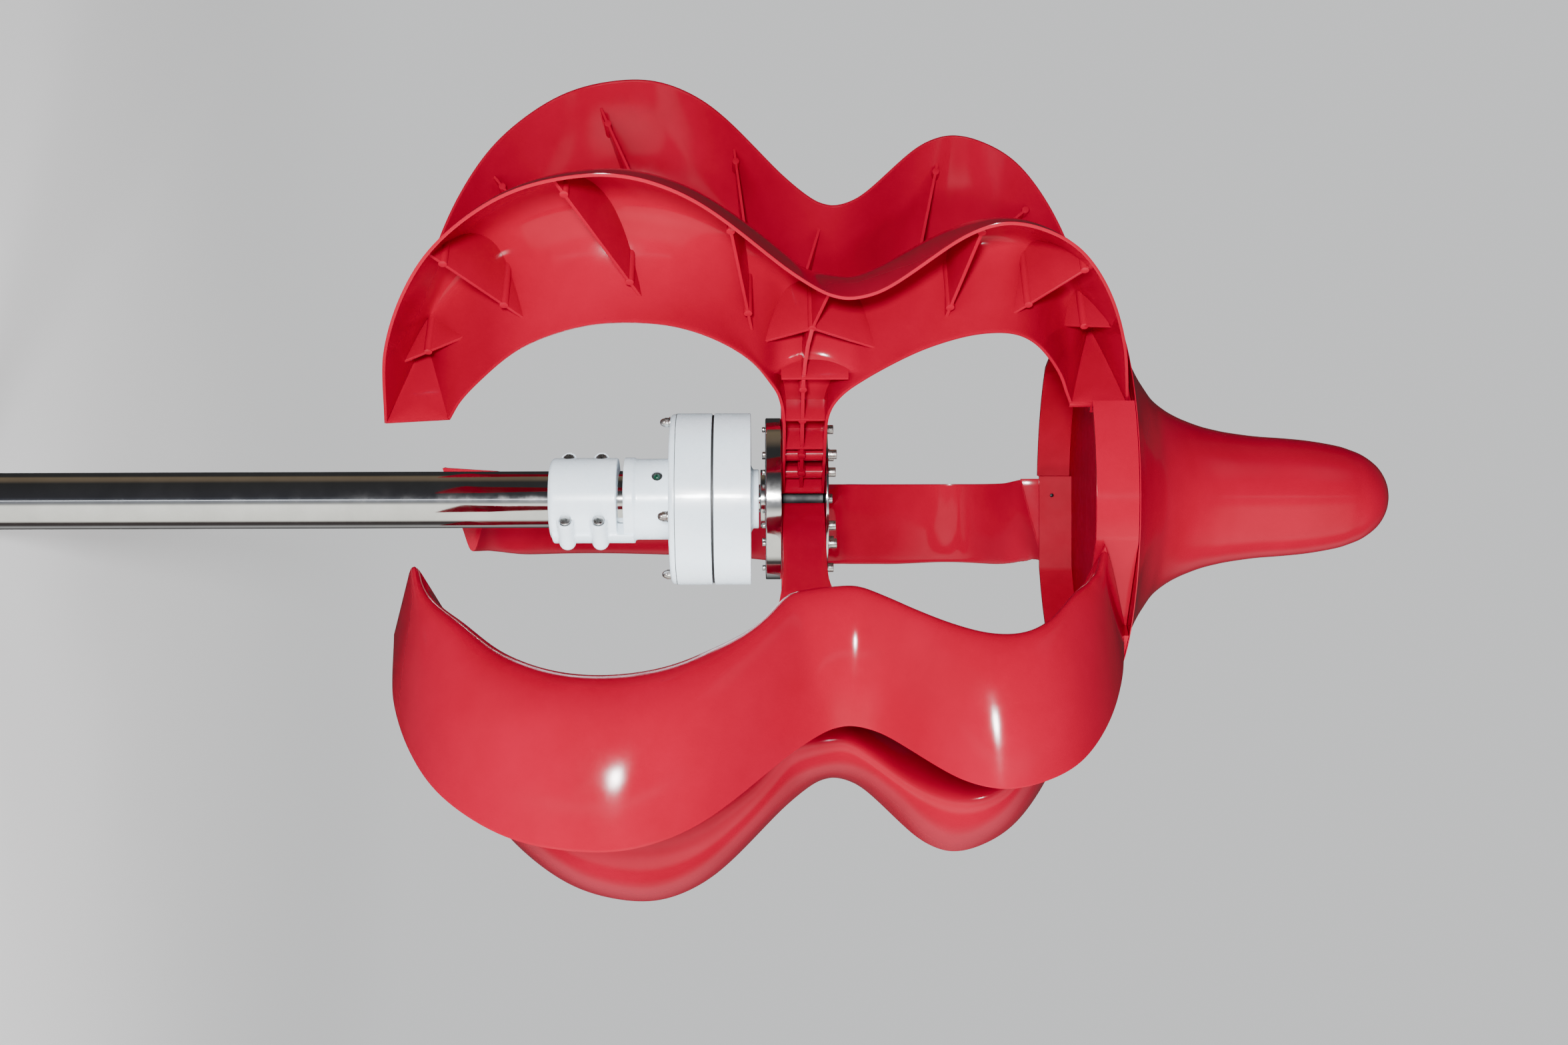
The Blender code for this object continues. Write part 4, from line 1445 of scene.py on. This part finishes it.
def pad(spot):
    """A round ejector pad from the sheet to just above a rib's free edge."""
    depth = floor_below(spot.x, spot.z) or spot.y - PAD_DEPTH
    top = spot.y + PAD_PROUD
    upright = Matrix.Translation((spot.x, (top + depth) / 2, spot.z)) @ Matrix.Rotation(-math.pi / 2, 4, "X")
    bm = rod(PAD_R, top - depth, upright, 24)
    settle_feet([v for v in bm.verts if v.co.y < top - TINY])
    on_top = [e for e in sharp_edges(bm, degrees=60) if all(v.co.y > top - TINY for v in e.verts)]
    bevel(bm, RIM_ROUND, 2, on_top)
    return bm


print("helper for pads ready")

# %% [markdown]
# Each row is one rib: the two ends of its free edge as (r, t, z) in millimetres, and where its pads are, as
# shares of its length. Seven ribs cross the scoop, three meet in a star at its waist, and three cross the
# arm. The stem is a chain of wider ribs from the star along the arm to the hub.

# %% Ribs and pads
RIBS = (
    ((185, -7.5, 437.5), (200, -18.5, 483.5), (0.41,)),
    ((321.5, 2.5, 478), (244, -2.5, 540), (0.13, 0.79)),
    ((394, -3, 578.5), (264, -7, 634.5), (0.105, 0.87)),
    ((349.5, -3.5, 706), (215, -10, 723), (0.07, 0.805)),
    ((342, -10.5, 900.5), (238, -7.5, 878.5), (0.10, 0.90)),
    ((296.5, -9.5, 989), (245.5, -4.5, 932.5), (0.12, 0.83)),
    ((195, -34.5, 981), (222, -10, 1010), (0.47,)),
    ((275.5, -9.5, 787.5), (221.5, -9.5, 771.5), ()),
    ((204, -10, 730), (221.5, -9.5, 771.5), ()),
    ((198.5, -8, 823.5), (221.5, -9.5, 771.5), ()),
    ((179, 8, 749.5), (179, 8, 799), ()),
    ((126, 9.5, 750), (126, 9.5, 785), ()),
    ((86.5, 9.5, 750), (86.5, 9.5, 785), ()),
)
STEM = (
    (221.5, -9.5, 771.5), (208, -3, 768.2), (192, 3, 766), (179, 7.5, 765), (166, 9, 764.7), (124, 9, 764.9),
    (75, 9, 765.2), (49, 9, 765.4), (29, 9, 765.5),
)
STEM_PADS = (0, 4, 5, 6, 7)
STEM_WIDTH = 0.0034

ribs = bmesh.new()
for a, b, pads in RIBS:
    add_to(ribs, rib(a, b), Matrix())
    for share in pads:
        add_to(ribs, pad((Vector(a) * MM).lerp(Vector(b) * MM, share)), Matrix())
for a, b in zip(STEM, STEM[1:]):
    add_to(ribs, rib(a, b, STEM_WIDTH), Matrix())
for n in STEM_PADS:
    add_to(ribs, pad(Vector(STEM[n]) * MM), Matrix())
print("ribs:", len(RIBS) + len(STEM) - 1)

# %% [markdown]
# At its upper end the blade stands on the ring with a thick flat seat. The seat has the end's own outline, a
# little larger, extruded towards the ring.

# %% Seat at the upper end
SEAT_THICK = 0.0045
SEAT_WIDER = 1.026
SEAT_HIGHER = 1.045

row = [scoop_point(LAST, share) for share in SHARES]
middle = sum(row, Vector()) / len(row)
bm = bmesh.new()
corners = []
for p in row:
    out = p - middle
    corners.append(bm.verts.new(middle + Vector((out.x, out.y * SEAT_WIDER, out.z * SEAT_HIGHER))))
bm.faces.new(corners)
grown = bmesh.ops.extrude_face_region(bm, geom=bm.faces[:])
bmesh.ops.translate(bm, verts=new_verts(grown), vec=(-SEAT_THICK, 0, 0))
bmesh.ops.recalc_face_normals(bm, faces=bm.faces[:])
bevel(bm, RIB_ROUND, 2, sharp_edges(bm, degrees=60))
print("seat:", len(bm.faces), "faces")
add_to(ribs, bm, Matrix())

# %% [markdown]
# Two tubes stand across the arm's trough and take the hub screws, so that the flange and the disc can clamp
# the arm without crushing it. They stand into the arm's walls.

# %% Bolt tubes in the arm
TUBE_R = 0.0060
TUBE_LENGTH = 0.034
TUBE_T = -0.0005

for r in BOLT_RADII:
    bmesh.ops.create_cone(
        ribs, cap_ends=True, segments=32, radius1=TUBE_R, radius2=TUBE_R, depth=TUBE_LENGTH,
        matrix=Matrix.Translation((r, TUBE_T, (CORE_LOW + CORE_TOP) / 2)),
    )
print("ribs, open edges:", sum(len(e.link_faces) != 2 for e in ribs.edges))

# %% [markdown]
# One blade is now complete. The five real blades come out of one mould, so the same mesh is copied and
# turned about the axis to each blade's azimuth.

# %% Five blades
add_to(blade, ribs, Matrix())
blade_mesh = bpy.data.meshes.new("blade")
blade.to_mesh(blade_mesh)
blade.free()
for letter, azimuth in BLADE_AZIMUTHS.items():
    bm = bmesh.new()
    bm.from_mesh(blade_mesh)
    bmesh.ops.transform(bm, matrix=turn_z(azimuth), verts=bm.verts[:])
    put(f"blade_{letter}_moulded", bm, [CRIMSON], "rotor", [f"blade_{letter}"], smooth=38)
print("blade:", len(blade_mesh.polygons), "faces, five copies")
bpy.data.meshes.remove(blade_mesh)

# %% [markdown]
# The ring joins the five upper tips. It is a short drum whose side has five flats, one for each blade. Its
# outline is worked out from the radius and the flats, because the ring's two walls and the plate in it all
# need the same line at another size.

# %% The ring's outline
FLAT_R = 0.1535
FLAT_T = (-0.0700, 0.0205)
FLAT_STEP = 0.001
ARC_STEPS = 20


def ring_line(radius, flat):
    """Points round the ring at one radius, cut by the five flats."""
    points = []
    for azimuth in sorted(BLADE_AZIMUTHS.values()):
        turn = math.radians(azimuth)
        out = Vector((math.cos(turn), math.sin(turn), 0))
        along = Vector((-math.sin(turn), math.cos(turn), 0))
        low = max(FLAT_T[0], -math.sqrt(radius * radius - flat * flat))
        local = [(flat, low), (flat, (low + FLAT_T[1]) / 2), (flat, FLAT_T[1])]
        start = math.asin((FLAT_T[1] + FLAT_STEP) / radius)
        stop = 2 * math.pi / 5 + math.atan2(low, flat)
        for i in range(ARC_STEPS):
            angle = start + (stop - start) * i / ARC_STEPS
            local.append((radius * math.cos(angle), radius * math.sin(angle)))
        points += [out * a + along * b for a, b in local]
    return points


def raised(bm, loops):
    """Walls over a row of closed lines, each a list of points and a height."""
    points, height = loops[0]
    first = [bm.verts.new((p.x, p.y, height)) for p in points]
    for pair in zip(first, first[1:] + first[:1]):
        bm.edges.new(pair)
    chains = [first]
    for points, height in loops[1:]:
        chain = extruded(bm, chains[-1], closed=True)
        for v, p in zip(chain, points):
            v.co = (p.x, p.y, height)
        chains.append(chain)
    return chains


RING_R, RING_LOW, RING_TOP = span("top_ring")
print(f"the ring is {2 * RING_R / MM:.0f} mm across, its outline has {len(ring_line(RING_R, FLAT_R))} points")

# %% [markdown]
# The ring's walls rise outside, cross the top and come down inside. Its outside is glossy and its inside was
# left matt by the mould, so the faces that look towards the axis get the second material.

# %% Top ring
RING_WALL = 0.004

bm = bmesh.new()
outer = ring_line(RING_R, FLAT_R)
inner = ring_line(RING_R - RING_WALL, FLAT_R - RING_WALL)
raised(bm, [(outer, RING_LOW), (outer, RING_TOP), (inner, RING_TOP), (inner, RING_LOW), (outer, RING_LOW)])
bmesh.ops.remove_doubles(bm, verts=bm.verts[:], dist=1e-6)
bmesh.ops.recalc_face_normals(bm, faces=bm.faces[:])
bevel(bm, width=0.0006)
for face in bm.faces:
    outwards = face.calc_center_median() * Vector((1, 1, 0))
    face.material_index = int(face.normal.dot(outwards) < -1e-3)
print("ring:", len(bm.faces), "faces")
even_normals(put("top_ring_fine", bm, [CRIMSON, MATT_CRIMSON], "rotor", ["top_ring"]))

# %% [markdown]
# A plate closes the ring above. It is the same outline again, smaller by the wall and a fine gap, and its
# two closed lines are each filled with one face.

# %% Plate in the ring
PLATE_THICK = 0.003
PLATE_GAP = 0.0003
PLATE_TOP = RING_TOP - 0.0004

bm = bmesh.new()
line = ring_line(RING_R - RING_WALL - PLATE_GAP, FLAT_R - RING_WALL - PLATE_GAP)
for chain in raised(bm, [(line, PLATE_TOP - PLATE_THICK), (line, PLATE_TOP)]):
    bmesh.ops.contextual_create(bm, geom=edges_along(bm, chain, closed=True))
bmesh.ops.recalc_face_normals(bm, faces=bm.faces[:])
print("plate:", len(bm.faces), "faces")
even_normals(put("ring_plate_fine", bm, [MATT_CRIMSON], "rotor", ["ring_plate"]))

# %% [markdown]
# One screw holds each seat from outside, and its end comes through the ring's wall. A short disc on the inner
# face of each flat is all of it that shows, and its near-black tone is painted shade.

# %% Ends of the ring's screws
RING_SCREW_R, RING_SCREW_PROUD = 0.0018, 0.0016
RING_SCREW_AT = (FLAT_R - RING_WALL, 0.002, 1.0145)

bm = bmesh.new()
for azimuth in BLADE_AZIMUTHS.values():
    at = turn_z(azimuth) @ Matrix.Translation(RING_SCREW_AT) @ Matrix.Rotation(-math.pi / 2, 4, "Y")
    add_to(bm, ring_washer(RING_SCREW_R, RING_SCREW_PROUD, 24), at)
print("ring screw ends:", len(BLADE_AZIMUTHS))
put("ring_screw_ends", bm, [SHADE_DARK_STEEL], "rotor")

# %% [markdown]
# The nose is a trumpet: wide where it meets the ring, slender above and rounded at the top. Its outline is a
# smooth curve through a few measured points, (r, z) in millimetres, spun about the axis.

# %% Nose
NOSE_POINTS = (
    (168.0, 1037.6), (151.5, 1042.5), (133.0, 1049.5), (116.5, 1058), (104.0, 1066.0), (90.0, 1076.5),
    (79.8, 1089), (72.9, 1101), (67.8, 1113), (63.6, 1125), (60.6, 1137), (58.2, 1149), (54.9, 1173),
    (53.1, 1197), (50.7, 1221), (46.5, 1245), (42.9, 1257), (37.8, 1269), (28.8, 1281), (18.5, 1288.3),
    (8.5, 1291.7), (0, 1292.5),
)
NOSE_STEPS = 4
NOSE_RIM = 0.0008

curve = [
    spline([(r * MM, z * MM) for r, z in NOSE_POINTS], k / NOSE_STEPS)
    for k in range(NOSE_STEPS * (len(NOSE_POINTS) - 1) + 1)
]
curve = [(max(r, 0.0), z) for r, z in curve]
base = curve[0][1]
skirt = [(0, base), (curve[0][0], base), (curve[0][0], base + NOSE_RIM)]
bm = turned([*skirt, *curve[1:]], steps=192, closed=False)
print("nose:", len(bm.faces), "faces")
put("nose_fairing_fine", bm, [CRIMSON], "rotor", ["nose_fairing"], smooth=50)
